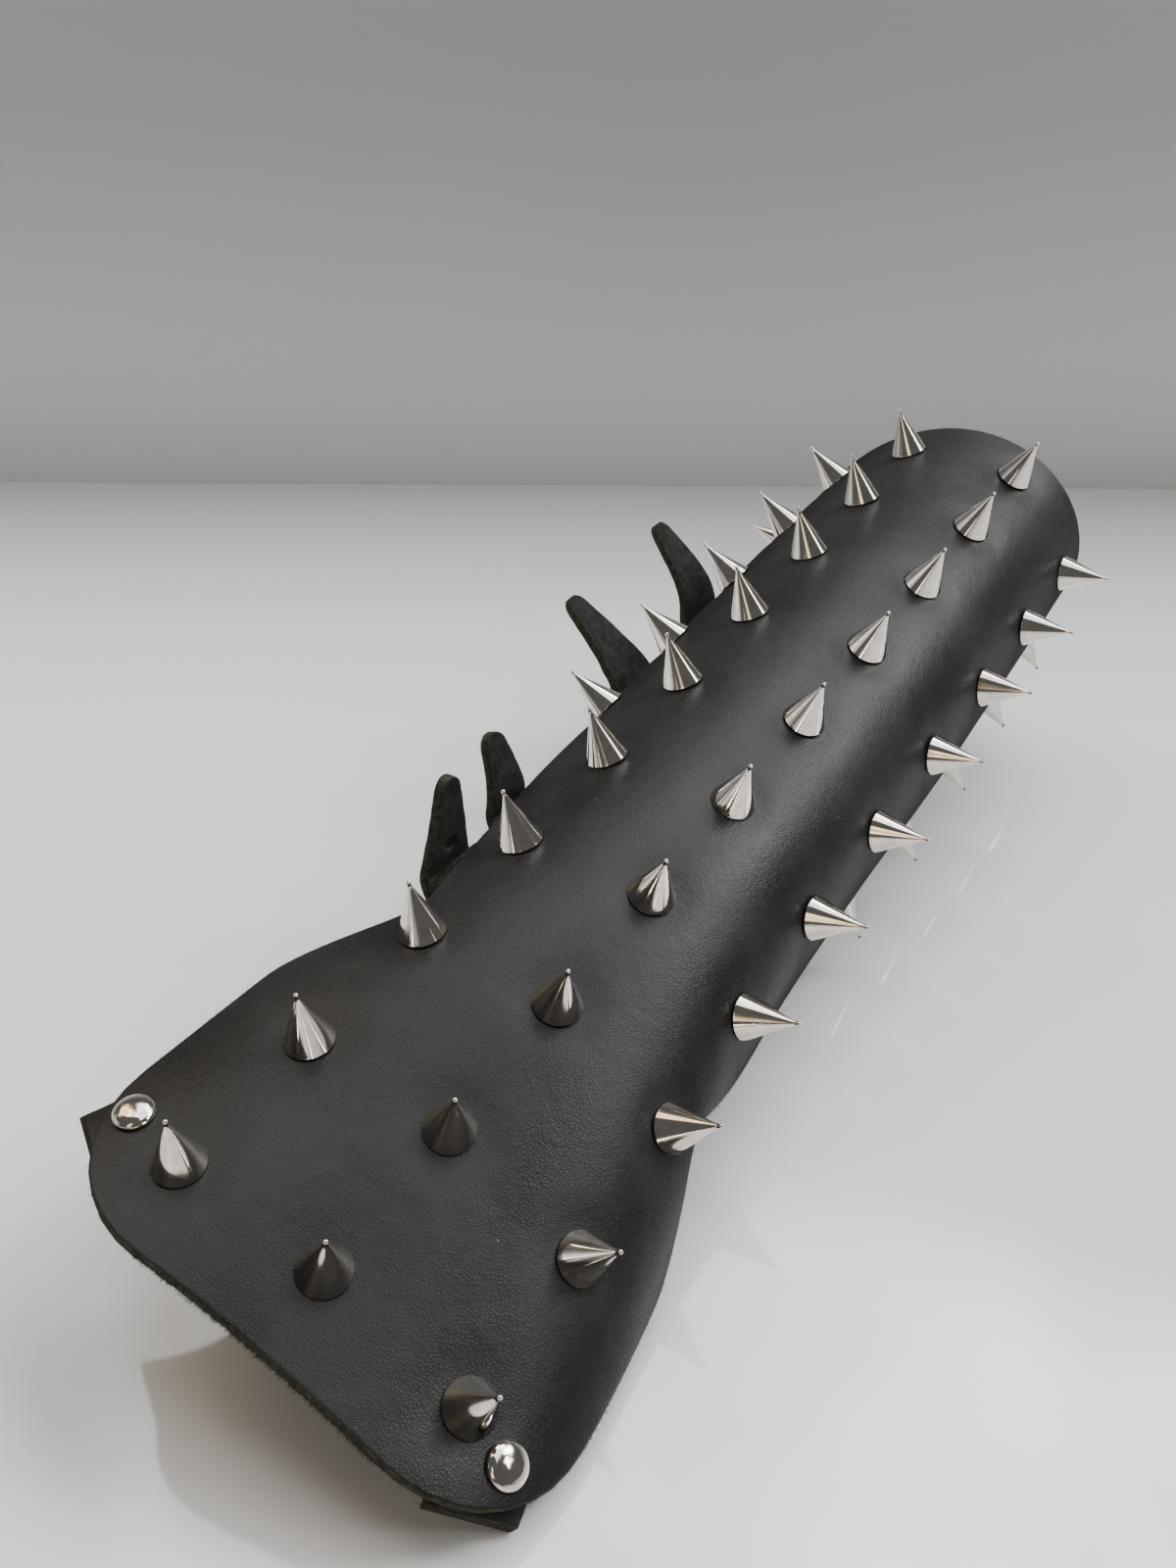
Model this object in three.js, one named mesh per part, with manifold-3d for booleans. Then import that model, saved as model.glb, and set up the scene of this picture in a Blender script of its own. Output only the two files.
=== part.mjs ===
// Studded arm guard: one sheet of leather rolled round the forearm, with a flared flap over the hand,
// cone spikes in rows, a palm strap under the flap and four closing straps with buckles.
// Millimetres, +Z up, +X from the hand to the elbow, +Y to the left. It lies on the plane z = 0.
import * as THREE from 'three';
import { mergeVertices } from 'three/addons/utils/BufferGeometryUtils.js';
import Module from 'manifold-3d';

const wasm = await Module();
wasm.setup();

// The sheet of leather, as it is cut
const guardLength = 319;
const leatherThickness = 2.8;
const flapWidth = 109;
const flapLength = 58;
const flapCornerRadius = 28;
const wristWidth = 78;
const wristFromFront = 90;
const elbowWidth = 215;
const elbowCornerRadius = 9;

// How the sheet lies: the line of its crown, and the roll about that line
const elbowCrownHeight = 87;
const forearmRadius = 41.5;
const underRadius = 62;
const underFrom = 58;
const flapLean = THREE.MathUtils.degToRad(17.8);
const elbowLean = THREE.MathUtils.degToRad(26.2);
const bendSpan = 50;

// Spikes
const firstSpikeFromFront = 16;
const lastSpikeFromElbow = 15;
const longRowCount = 10;
const shortRowCount = 5;
const spikePitch = (guardLength - firstSpikeFromFront - lastSpikeFromElbow) / (longRowCount - 1);
const sideRowShare = 0.301;
const sideRowAside = sideRowShare * flapWidth;
const flankRowAside = 58.5;
const underRowAside = 87;
const spikeBaseRadius = 5;
const spikeHeight = 12.8;
const spikeTipRadius = 0.75;
const spikeNeckRadius = 1.6;
const spikeHeadRadius = 3.4;
const spikeHeadThickness = 1;
const spikeSides = 8;

// Corner rivets, each with its place from the front edge and from the side edge as a share of the width
const rivetRadius = 4;
const rivetDome = 1.7;
const rivetPostRadius = 1.5;
const rivetCapRadius = 3;
const rivetSides = 12;
const leftRivetFromFront = 19.5;
const leftRivetSideShare = 0.066;
const rightRivetFromFront = 14.4;
const rightRivetSideShare = 0.102;

// Straps
const strapWidth = 18;
const strapThickness = 2.6;
const strapTipWidth = 6;
const strapTaper = 28;
const strapOverlap = 13;
const strapBend = 17;
const punchRadius = 1.9;
const punchFromTip = 17;
const palmStrapWidth = 18;
const palmStrapPastRivet = 9;
const palmStrapSwing = THREE.MathUtils.degToRad(30);
const palmStrapReach = 46;
const palmStrapSag = 2;

// Buckles
const barThickness = 3;
const buckleOpening = 13;
const buckleSideClearance = 1.2;
const prongWidth = 2.4;
const prongThickness = 1.6;
const tabDrop = 7;

// Clearances between pieces
const gap = 0.3;
const seatGap = 0.8;
const headGap = 0.9;
const holeGap = 0.5;

// Steps of the meshes
const sheetColumns = 26;
const sheetStep = 18;
const cornerSteps = 3;
const walkStep = 1;
const punchSides = 6;

// The crown's line: along and aside as shares of the length and the flap's width, height as a share
// of the elbow's crown height, bend as a share of the forearm's curvature
const sections = [
  { along: 0, height: 0.352, bend: 0.225, aside: 0.11 },
  { along: 0.11, height: 0.428, bend: 0.355, aside: 0.085 },
  { along: 0.23, height: 0.527, bend: 0.566, aside: 0.06 },
  { along: 0.36, height: 0.625, bend: 0.865, aside: 0.036 },
  { along: 0.52, height: 0.731, bend: 0.976, aside: 0.012 },
  { along: 0.74, height: 0.859, bend: 1.02, aside: -0.013 },
  { along: 1, height: 0.996, bend: 1.136, aside: -0.029 },
];

// How the bend grows away from the crown: skew to the right side, spread to both sides
const flapBendShape = { skew: -0.69, spread: 1.12 };
const elbowBendShape = { skew: -0.45, spread: 0.08 };

// The closing straps: place as a share of the length, hang of the buckle from upright, rise and reach
// of the free end as shares of its taper, its lean from upright and the tip's drift towards the elbow in mm.
// Straps that a spike holds reach past it.
const strapRows = [
  { name: '1', along: 0.803, hang: 4, rise: 0.75, reach: 0.8, lean: 42, drift: -2.5, pastSpike: false, punched: false },
  { name: '2', along: 0.677, hang: 4, rise: 0.22, reach: 0.99, lean: 48, drift: -2.7, pastSpike: false, punched: false },
  { name: '3', along: 0.4514, hang: 8, rise: 0.18, reach: 0.48, lean: 18, drift: -1, pastSpike: true, punched: false },
  { name: '4', along: 0.3605, hang: 8, rise: 0.3, reach: 0.46, lean: 0, drift: 1, pastSpike: true, punched: true },
];

const blackLeather = { color: 0x232423, roughness: 0.55, metalness: 0 };
const strapLeather = { color: 0x1d1e1c, roughness: 0.85, metalness: 0 };
const nickel = { color: 0xc9c4ba, roughness: 0.22, metalness: 1 };

const acrossAxis = new THREE.Vector3(1, 0, 0);
const sidewaysAxis = new THREE.Vector3(0, 1, 0);
const alongWay = new THREE.Vector2(1, 0);

// Smooth value of one column of the section table
function sectionValue(column, share) {
  const last = sections.length - 2;
  let row = 0;
  while (row < last && share > sections[row + 1].along) {
    row += 1;
  }
  const slope = (index) => {
    const before = sections[Math.max(index - 1, 0)];
    const after = sections[Math.min(index + 1, sections.length - 1)];
    return (after[column] - before[column]) / (after.along - before.along);
  };
  const from = sections[row];
  const to = sections[row + 1];
  const span = to.along - from.along;
  const t = (share - from.along) / span;
  const start = (2 * t ** 3 - 3 * t ** 2 + 1) * from[column] + (t ** 3 - 2 * t ** 2 + t) * span * slope(row);
  return start + (3 * t ** 2 - 2 * t ** 3) * to[column] + (t ** 3 - t ** 2) * span * slope(row + 1);
}

// Curvature of the section at a distance across from the crown
function bendAt(along, across) {
  const share = along / guardLength;
  if (across < -underFrom) {
    return 1 / underRadius;
  }
  const skew = THREE.MathUtils.lerp(flapBendShape.skew, elbowBendShape.skew, share);
  const spread = THREE.MathUtils.lerp(flapBendShape.spread, elbowBendShape.spread, share);
  const u = Math.min(across, underFrom) / bendSpan;
  return sectionValue('bend', share) / forearmRadius * (1 + skew * u + spread * u * u);
}

// Point on the outer face of the sheet, walked from the crown across the section
function outerPoint(along, across) {
  const share = along / guardLength;
  const steps = Math.max(1, Math.ceil(Math.abs(across) / walkStep));
  const stride = across / steps;
  let y = sectionValue('aside', share) * flapWidth;
  let z = sectionValue('height', share) * elbowCrownHeight;
  let turn = -THREE.MathUtils.lerp(flapLean, elbowLean, share);
  for (let step = 0; step < steps; step += 1) {
    const middle = (step + 0.5) * stride;
    const midTurn = turn + bendAt(along, middle) * stride / 2;
    y += Math.cos(midTurn) * stride;
    z -= Math.sin(midTurn) * stride;
    turn += bendAt(along, middle) * stride;
  }
  return new THREE.Vector3(along, y, z);
}

// Directions of the sheet at a point: on along the arm, over across it, out of its outer face
function sheetFrame(along, across) {
  const reach = 1;
  const on = outerPoint(along + reach, across).sub(outerPoint(along - reach, across)).normalize();
  const over = outerPoint(along, across + reach).sub(outerPoint(along, across - reach)).normalize();
  const out = new THREE.Vector3().crossVectors(on, over).normalize();
  over.crossVectors(out, on);
  return { on, over, out };
}

// Point below the outer face, measured into the hollow
function insidePoint(along, across, depth) {
  return outerPoint(along, across).addScaledVector(sheetFrame(along, across).out, -depth);
}

// Half the width of the cut sheet, between its rounded corners
function halfWidthAt(along) {
  const elbowStart = guardLength - elbowCornerRadius;
  const taper = (elbowWidth - wristWidth) / 2 / (guardLength - wristFromFront);
  if (along < flapCornerRadius) {
    return flapWidth / 2 - flapCornerRadius + Math.sqrt(flapCornerRadius ** 2 - (flapCornerRadius - along) ** 2);
  }
  if (along < wristFromFront) {
    const t = THREE.MathUtils.smoothstep(along, flapLength, wristFromFront);
    return THREE.MathUtils.lerp(flapWidth / 2, wristWidth / 2, t);
  }
  const straight = wristWidth / 2 + taper * (along - wristFromFront);
  if (along <= elbowStart) {
    return straight;
  }
  return straight - elbowCornerRadius + Math.sqrt(Math.max(0, elbowCornerRadius ** 2 - (along - elbowStart) ** 2));
}

// Places of the mesh rows: close together round the corners, even between them
function sheetRows() {
  const rows = [];
  const elbowStart = guardLength - elbowCornerRadius;
  for (let step = 0; step <= cornerSteps; step += 1) {
    rows.push(flapCornerRadius * (1 - Math.cos(Math.PI / 2 * step / cornerSteps)));
  }
  const stretches = [
    { from: flapCornerRadius, to: flapLength, step: sheetStep },
    { from: flapLength, to: wristFromFront, step: sheetStep / 2.5 },
    { from: wristFromFront, to: elbowStart, step: sheetStep },
  ];
  for (const stretch of stretches) {
    const count = Math.max(1, Math.round((stretch.to - stretch.from) / stretch.step));
    for (let step = 1; step <= count; step += 1) {
      rows.push(THREE.MathUtils.lerp(stretch.from, stretch.to, step / count));
    }
  }
  for (let step = 1; step <= cornerSteps; step += 1) {
    rows.push(elbowStart + elbowCornerRadius * Math.sin(Math.PI / 2 * step / cornerSteps));
  }
  return rows;
}

// A closed sheet between two grids of points with the same rows and columns
function sheetBetween(upper, lower) {
  const rowCount = upper.length;
  const columnCount = upper[0].length;
  const positions = [];
  const triangles = [];
  for (const grid of [upper, lower]) {
    for (const point of grid.flat()) {
      positions.push(point.x, point.y, point.z);
    }
  }
  const below = rowCount * columnCount;
  const at = (row, column) => row * columnCount + column;
  const rim = (p, q) => triangles.push(q, p, p + below, q, p + below, q + below);
  for (let row = 0; row < rowCount - 1; row += 1) {
    for (let column = 0; column < columnCount - 1; column += 1) {
      const a = at(row, column);
      const b = at(row + 1, column);
      const c = at(row + 1, column + 1);
      const d = at(row, column + 1);
      triangles.push(a, b, c, a, c, d);
      triangles.push(a + below, c + below, b + below, a + below, d + below, c + below);
    }
    rim(at(row, 0), at(row + 1, 0));
    rim(at(row + 1, columnCount - 1), at(row, columnCount - 1));
  }
  for (let column = 0; column < columnCount - 1; column += 1) {
    rim(at(rowCount - 1, column), at(rowCount - 1, column + 1));
    rim(at(0, column + 1), at(0, column));
  }
  const geometry = new THREE.BufferGeometry();
  geometry.setAttribute('position', new THREE.Float32BufferAttribute(positions, 3));
  geometry.setIndex(triangles);
  geometry.computeVertexNormals();
  return geometry;
}

function toSolid(geometry) {
  const bare = geometry.clone();
  bare.deleteAttribute('normal');
  bare.deleteAttribute('uv');
  const merged = mergeVertices(bare);
  const vertProperties = Float32Array.from(merged.attributes.position.array);
  const triVerts = Uint32Array.from(merged.index.array);
  return new wasm.Manifold(new wasm.Mesh({ numProp: 3, vertProperties, triVerts }));
}

function toGeometry(solid) {
  const mesh = solid.getMesh();
  const geometry = new THREE.BufferGeometry();
  geometry.setAttribute('position', new THREE.BufferAttribute(Float32Array.from(mesh.vertProperties), 3));
  geometry.setIndex(new THREE.BufferAttribute(Uint32Array.from(mesh.triVerts), 1));
  geometry.computeVertexNormals();
  return geometry;
}

function cutAll(geometry, cutters) {
  let solid = toSolid(geometry);
  for (const cutter of cutters) {
    solid = solid.subtract(toSolid(cutter));
  }
  return toGeometry(solid);
}

const guard = new THREE.Group();

function addPiece(name, geometry, look) {
  const mesh = new THREE.Mesh(geometry, new THREE.MeshStandardMaterial(look));
  mesh.name = name;
  guard.add(mesh);
  return mesh;
}

// Turns a piece made along +Y so that it stands out of the sheet at a place
function standOn(target, along, across) {
  const { on, out } = sheetFrame(along, across);
  const side = new THREE.Vector3().crossVectors(on, out);
  target.applyMatrix4(new THREE.Matrix4().makeBasis(on, out, side).setPosition(outerPoint(along, across)));
  return target;
}

// A punch along the sheet's normal, long enough for the leather and what lies under it
function punchAt(along, across, radius) {
  const depth = 8 * leatherThickness;
  return standOn(new THREE.CylinderGeometry(radius, radius, depth, punchSides), along, across);
}

// Every spike: its name, its place and whether a strap lies under the sheet there
function spikePlaces() {
  const rows = [
    { row: 'a', across: sideRowAside, count: longRowCount },
    { row: 'b', across: 0, count: longRowCount },
    { row: 'c', across: -sideRowAside, count: longRowCount },
    { row: 'd', across: flankRowAside, count: shortRowCount },
    { row: 'e', across: -flankRowAside, count: shortRowCount },
    { row: 'f', across: underRowAside, count: 1 },
    { row: 'g', across: -underRowAside, count: 1 },
  ];
  const places = [];
  for (const { row, across, count } of rows) {
    for (let index = 1; index <= count; index += 1) {
      const along = firstSpikeFromFront + spikePitch * (longRowCount - index);
      const overStrap = strapRows.some((strap) => strap.pastSpike
        && Math.abs(strap.along * guardLength - along) < strapWidth / 2
        && Math.abs(Math.abs(across) - sideRowAside) < spikeBaseRadius);
      places.push({ name: `spike_${row}_${String(index).padStart(2, '0')}`, along, across, overStrap });
    }
  }
  return places;
}

// A cone screwed from inside: cone and rounded tip, neck through the leather, flat head
function spikeGeometry(grip) {
  const headTop = -(grip + headGap);
  const profile = [
    new THREE.Vector2(0, headTop - spikeHeadThickness),
    new THREE.Vector2(spikeHeadRadius, headTop - spikeHeadThickness),
    new THREE.Vector2(spikeHeadRadius, headTop),
    new THREE.Vector2(spikeNeckRadius, headTop),
    new THREE.Vector2(spikeNeckRadius, gap),
    new THREE.Vector2(spikeBaseRadius, gap),
    new THREE.Vector2(spikeTipRadius, spikeHeight - spikeTipRadius),
    new THREE.Vector2(0, spikeHeight),
  ];
  return new THREE.LatheGeometry(profile, spikeSides);
}

// A domed rivet that clamps the palm strap under the sheet
function rivetGeometry(clearance) {
  const under = -(leatherThickness + clearance + strapThickness + 2 * seatGap);
  const profile = [
    new THREE.Vector2(0, under - spikeHeadThickness),
    new THREE.Vector2(rivetCapRadius, under - spikeHeadThickness),
    new THREE.Vector2(rivetCapRadius, under),
    new THREE.Vector2(rivetPostRadius, under),
    new THREE.Vector2(rivetPostRadius, gap),
    new THREE.Vector2(rivetRadius, gap),
    new THREE.Vector2(rivetRadius * 0.97, gap + rivetDome * 0.35),
    new THREE.Vector2(rivetRadius * 0.7, gap + rivetDome * 0.8),
    new THREE.Vector2(0, gap + rivetDome),
  ];
  return new THREE.LatheGeometry(profile, rivetSides);
}

// A band of leather along a list of stations: each has a middle point, a direction across and a half width
function bandGeometry(stations, thickness) {
  const upper = [];
  const lower = [];
  stations.forEach((station, index) => {
    const before = stations[Math.max(index - 1, 0)].point;
    const after = stations[Math.min(index + 1, stations.length - 1)].point;
    const onward = after.clone().sub(before).normalize();
    const face = new THREE.Vector3().crossVectors(onward, station.across).normalize();
    const corners = [-1, 1].map((side) => station.point.clone().addScaledVector(station.across, side * station.half));
    upper.push(corners.map((corner) => corner.clone().addScaledVector(face, thickness / 2)));
    lower.push(corners.map((corner) => corner.clone().addScaledVector(face, -thickness / 2)));
  });
  return sheetBetween(upper, lower);
}

// Station of a band that lies under the sheet, its two edges following the sheet's inner face
function seatedStation(along, across, way, half, clearance) {
  const depth = leatherThickness + clearance + strapThickness / 2;
  const [from, to] = [-half, half].map((side) => insidePoint(along + side * way.x, across + side * way.y, depth));
  return { point: from.clone().lerp(to, 0.5), across: to.clone().sub(from).normalize(), half };
}

// Points of a smooth bend between two places with given directions
function bend(from, fromWay, to, toWay, pull, count) {
  const curve = new THREE.CubicBezierCurve3(
    from,
    from.clone().addScaledVector(fromWay, pull),
    to.clone().addScaledVector(toWay, -pull),
    to,
  );
  return curve.getPoints(count).slice(1);
}

// Half width of a strap at a distance from its tip: a long taper with a rounded end
function tipHalfWidth(fromTip) {
  const round = strapTipWidth / 2;
  const tapered = THREE.MathUtils.lerp(round, strapWidth / 2, Math.min(1, fromTip / strapTaper));
  const t = Math.min(1, (fromTip + round * 0.12) / round);
  return tapered * Math.sqrt(1 - (1 - t) ** 2);
}

// Places of one closing strap, its tab and its buckle, worked out at the strap's own section
function strapLayout(row) {
  const along = row.along * guardLength;
  const half = halfWidthAt(along);
  const seat = row.pastSpike ? half - sideRowAside + strapWidth / 3 : strapOverlap;
  const left = sheetFrame(along, half);
  const right = sheetFrame(along, -half);
  const hang = THREE.MathUtils.degToRad(row.hang);
  const down = new THREE.Vector3(0, Math.sin(hang), -Math.cos(hang));
  const outward = new THREE.Vector3(0, Math.cos(hang), Math.sin(hang));
  const around = barThickness * Math.SQRT1_2 + gap + strapThickness / 2;
  const leftEdge = seatedStation(along, half, alongWay, strapWidth / 2, seatGap).point;
  const upperBar = leftEdge.clone()
    .addScaledVector(left.over, strapThickness)
    .addScaledVector(down, tabDrop)
    .addScaledVector(outward, around);
  const lowerBar = upperBar.clone().addScaledVector(down, buckleOpening + barThickness);
  return { along, half, seat, left, right, down, outward, around, upperBar, lowerBar };
}

// Stations of a strap or tab that lies under the sheet from one place across it to another
function seatedStations(along, from, to) {
  const steps = 3;
  return Array.from({ length: steps + 1 }, (_, step) => {
    const across = THREE.MathUtils.lerp(from, to, step / steps);
    return seatedStation(along, across, alongWay, strapWidth / 2, seatGap * (1 + step / steps));
  });
}

function strapStations(row) {
  const place = strapLayout(row);
  const { along, half, seat, right, down, outward, around, upperBar, lowerBar } = place;
  const up = down.clone().negate();
  const seated = seatedStations(along, -half + seat, -half);
  const points = seated.map((station) => station.point);
  const rest = strapThickness / 2;
  const rightEdge = points[points.length - 1];
  const away = right.over.clone().negate();
  away.x = 0;
  away.normalize();
  const innerPass = lowerBar.clone().addScaledVector(outward, -around);
  const outerPass = upperBar.clone().addScaledVector(outward, around + strapThickness + seatGap);
  const landing = new THREE.Vector3(along, rightEdge.y + strapBend, rest);
  const takeOff = new THREE.Vector3(along, innerPass.y - strapBend * 0.8, rest);
  points.push(...bend(rightEdge, away, landing, sidewaysAxis, strapBend * 0.55, 5));
  points.push(takeOff);
  points.push(...bend(takeOff, sidewaysAxis, innerPass, up, strapBend * 0.5, 5));
  points.push(...bend(innerPass, up, outerPass, up, buckleOpening * 0.4, 4));
  const lean = THREE.MathUtils.degToRad(row.lean);
  const free = new THREE.Vector3(0, Math.sin(lean), Math.cos(lean));
  const knee = outerPass.clone().addScaledVector(up, row.rise * strapTaper);
  const tip = knee.clone().addScaledVector(free, row.reach * strapTaper).addScaledVector(acrossAxis, row.drift);
  points.push(...bend(outerPass, up, tip, free, row.rise * strapTaper, 6));
  const last = points.length - 1;
  points.splice(last, 0, points[last].clone().lerp(points[last - 1], 0.5), points[last].clone().lerp(points[last - 1], 0.2));
  let length = 0;
  const travelled = points.map((point, index) => {
    length += index ? point.distanceTo(points[index - 1]) : 0;
    return length;
  });
  const settled = seat + strapBend;
  return points.map((point, index) => {
    const blend = THREE.MathUtils.smoothstep(travelled[index], seat, settled);
    const edge = seated[Math.min(index, seated.length - 1)].across;
    const across = edge.clone().lerp(acrossAxis, blend).normalize();
    return { point, across, half: tipHalfWidth(length - travelled[index]) };
  });
}

// The tab that holds the buckle: from under the sheet's edge, round the upper bar and up again
function tabStations(row) {
  const { along, half, seat, left, down, outward, around, upperBar } = strapLayout(row);
  const seated = seatedStations(along, half - seat, half);
  const points = seated.map((station) => station.point);
  const away = left.over.clone();
  away.x = 0;
  away.normalize();
  const edge = points[points.length - 1];
  const inner = upperBar.clone().addScaledVector(outward, -around);
  points.push(...bend(edge, away, inner, down, tabDrop * 0.45, 4));
  const wrapSteps = 6;
  for (let step = 1; step <= wrapSteps; step += 1) {
    const angle = Math.PI * step / wrapSteps;
    points.push(upperBar.clone()
      .addScaledVector(outward, -around * Math.cos(angle))
      .addScaledVector(down, around * Math.sin(angle)));
  }
  return points.map((point, index) => {
    const blend = THREE.MathUtils.smoothstep(index, seated.length - 1, seated.length + 3);
    const edge = seated[Math.min(index, seated.length - 1)].across;
    const across = edge.clone().lerp(acrossAxis, blend).normalize();
    return { point, across, half: strapWidth / 2 };
  });
}

// Places a piece made with X across the strap, Y out of the buckle and Z up along it
function inBuckle(target, place) {
  const up = place.down.clone().negate();
  target.applyMatrix4(new THREE.Matrix4().makeBasis(acrossAxis, place.outward, up).setPosition(place.upperBar));
  return target;
}

function prongGeometry(place, margin) {
  const spacing = buckleOpening + barThickness;
  const restHeight = barThickness / 2 + gap + prongThickness / 2;
  const length = Math.hypot(spacing + barThickness, restHeight);
  const prong = new THREE.BoxGeometry(prongWidth + 2 * margin, prongThickness + 2 * margin, length);
  prong.translate(0, 0, -length / 2);
  prong.rotateX(Math.atan2(restHeight, spacing));
  return inBuckle(prong, place);
}

// A plain buckle: a frame with two bars, and a prong that rests on the lower bar, all one piece
function buckleGeometry(row) {
  const place = strapLayout(row);
  const inner = strapWidth + 2 * buckleSideClearance;
  const outer = inner + 2 * barThickness;
  const spacing = buckleOpening + barThickness;
  const frame = new THREE.BoxGeometry(outer, barThickness, spacing + barThickness);
  const opening = new THREE.BoxGeometry(inner, 2 * barThickness, buckleOpening);
  for (const part of [frame, opening]) {
    part.translate(0, 0, -spacing / 2);
    inBuckle(part, place);
  }
  const ring = toSolid(frame).subtract(toSolid(opening));
  return toGeometry(ring.add(toSolid(prongGeometry(place, 0))));
}

const spikes = spikePlaces();
const underHeads = headGap + spikeHeadThickness + gap;
const leftRivetAside = flapWidth * (0.5 - leftRivetSideShare);
const rightRivetAside = flapWidth * (0.5 - rightRivetSideShare);
const rivets = [
  { name: 'rivet_left', along: leftRivetFromFront, across: leftRivetAside, side: 1, under: seatGap },
  { name: 'rivet_right', along: rightRivetFromFront, across: -rightRivetAside, side: -1, under: underHeads },
];
const postHoleRadius = rivetPostRadius + holeGap;
const neckHoleRadius = spikeNeckRadius + holeGap;

function addSheet() {
  const rows = sheetRows();
  const grids = [0, leatherThickness].map((depth) => rows.map((along) => {
    const half = halfWidthAt(along);
    return Array.from({ length: sheetColumns + 1 }, (_, column) => {
      const across = half * (2 * column / sheetColumns - 1);
      return depth ? insidePoint(along, across, depth) : outerPoint(along, across);
    });
  }));
  const holes = [
    ...spikes.map((spike) => punchAt(spike.along, spike.across, neckHoleRadius)),
    ...rivets.map((rivet) => punchAt(rivet.along, rivet.across, postHoleRadius)),
  ];
  addPiece('guard_leather', cutAll(sheetBetween(grids[0], grids[1]), holes), blackLeather);
}

function addSpikes() {
  const singleGrip = leatherThickness;
  const doubleGrip = leatherThickness + seatGap + strapThickness;
  for (const spike of spikes) {
    const geometry = spikeGeometry(spike.overStrap ? doubleGrip : singleGrip);
    addPiece(spike.name, standOn(geometry, spike.along, spike.across), nickel);
  }
}

function addRivets() {
  for (const rivet of rivets) {
    addPiece(rivet.name, standOn(rivetGeometry(rivet.under), rivet.along, rivet.across), nickel);
  }
}

// The palm strap: flat under both corners, swung back, and on its edge where it turns under the hand
function palmStations() {
  const standing = palmStrapWidth / 2;
  const ends = rivets.map(({ along, across, side, under }) => {
    const inward = new THREE.Vector2(Math.cos(palmStrapSwing), -side * Math.sin(palmStrapSwing));
    const outer = new THREE.Vector2(Math.sin(palmStrapSwing), side * Math.cos(palmStrapSwing));
    const seat = (past, sag) => (
      seatedStation(along + inward.x * past, across + inward.y * past, outer, standing, under + sag)
    );
    return {
      tip: seat(-palmStrapPastRivet, 2 * gap),
      rivet: seat(0, 0),
      past: seat(palmStrapPastRivet, palmStrapSag),
    };
  });
  const [left, right] = ends;
  const turnX = (left.rivet.point.x + right.rivet.point.x) / 2 + palmStrapReach;
  const turnY = (left.rivet.point.y + right.rivet.point.y) / 2;
  const turn = new THREE.Vector3(turnX, turnY, standing);
  const onEdge = new THREE.Vector3(0, 0, -1);
  const [leftBend, rightBend] = ends.map(({ past }) => ({
    point: past.point.clone().lerp(turn, 0.6).addScaledVector(past.across, standing),
    across: past.across.clone().add(onEdge),
  }));
  const keys = [left.tip, left.rivet, left.past, leftBend, { point: turn, across: onEdge }];
  keys.push(rightBend, right.past, right.rivet, right.tip);
  const middle = new THREE.CatmullRomCurve3(keys.map((key) => key.point), false, 'centripetal');
  const across = new THREE.CatmullRomCurve3(keys.map((key) => key.across.normalize()));
  const steps = 24;
  return Array.from({ length: steps + 1 }, (_, step) => {
    const t = middle.getUtoTmapping(step / steps);
    const way = across.getPoint(t).normalize();
    const point = middle.getPoint(t);
    const lowest = standing * Math.abs(way.z) + strapThickness / 2 * Math.sqrt(1 - way.z ** 2);
    point.z = Math.max(point.z, lowest);
    return { point, across: way, half: standing };
  });
}

function addPalmStrap() {
  const holes = rivets.map((rivet) => punchAt(rivet.along, rivet.across, postHoleRadius));
  addPiece('palm_strap', cutAll(bandGeometry(palmStations(), strapThickness), holes), strapLeather);
}

function addStraps() {
  for (const row of strapRows) {
    const place = strapLayout(row);
    const necks = spikes.filter((spike) => spike.overStrap && Math.abs(spike.along - place.along) < strapWidth / 2);
    const neckHoles = necks.map((spike) => punchAt(spike.along, spike.across, neckHoleRadius));
    const stations = strapStations(row);
    const prongSlot = prongGeometry(place, gap + strapThickness / 4);
    const holes = [prongSlot, ...neckHoles.filter((hole, index) => necks[index].across < 0)];
    if (row.punched) {
      holes.push(punchNearTip(stations));
    }
    addPiece(`strap_${row.name}`, cutAll(bandGeometry(stations, strapThickness), holes), strapLeather);
    const tabHoles = [prongSlot, ...neckHoles.filter((hole, index) => necks[index].across > 0)];
    addPiece(`buckle_tab_${row.name}`, cutAll(bandGeometry(tabStations(row), strapThickness), tabHoles), strapLeather);
    addPiece(`buckle_${row.name}`, buckleGeometry(row), nickel);
  }
}

// The punched hole near a strap's tip, along the strap's own normal in the middle of one flat stretch
function punchNearTip(stations) {
  let travelled = 0;
  let index = stations.length - 1;
  while (travelled < punchFromTip) {
    travelled += stations[index].point.distanceTo(stations[index - 1].point);
    index -= 1;
  }
  const from = stations[index].point;
  const to = stations[index + 1].point;
  const centre = from.clone().lerp(to, 0.5);
  const onward = to.clone().sub(from).normalize();
  const across = stations[index].across;
  const face = new THREE.Vector3().crossVectors(onward, across).normalize();
  const punch = new THREE.CylinderGeometry(punchRadius, punchRadius, 4 * strapThickness, spikeSides);
  return punch.applyMatrix4(new THREE.Matrix4().makeBasis(across, face, onward).setPosition(centre));
}

addSheet();
addSpikes();
addRivets();
addPalmStrap();
addStraps();

// The origin is under the middle of the whole guard, on the plane that it lies on
const box = new THREE.Box3().setFromObject(guard);
guard.position.set(-(box.min.x + box.max.x) / 2, -(box.min.y + box.max.y) / 2, -box.min.z);
guard.updateMatrixWorld(true);

export default guard;
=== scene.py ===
import math

import bmesh
import bpy
import numpy as np
from mathutils import Matrix, Vector


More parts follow.
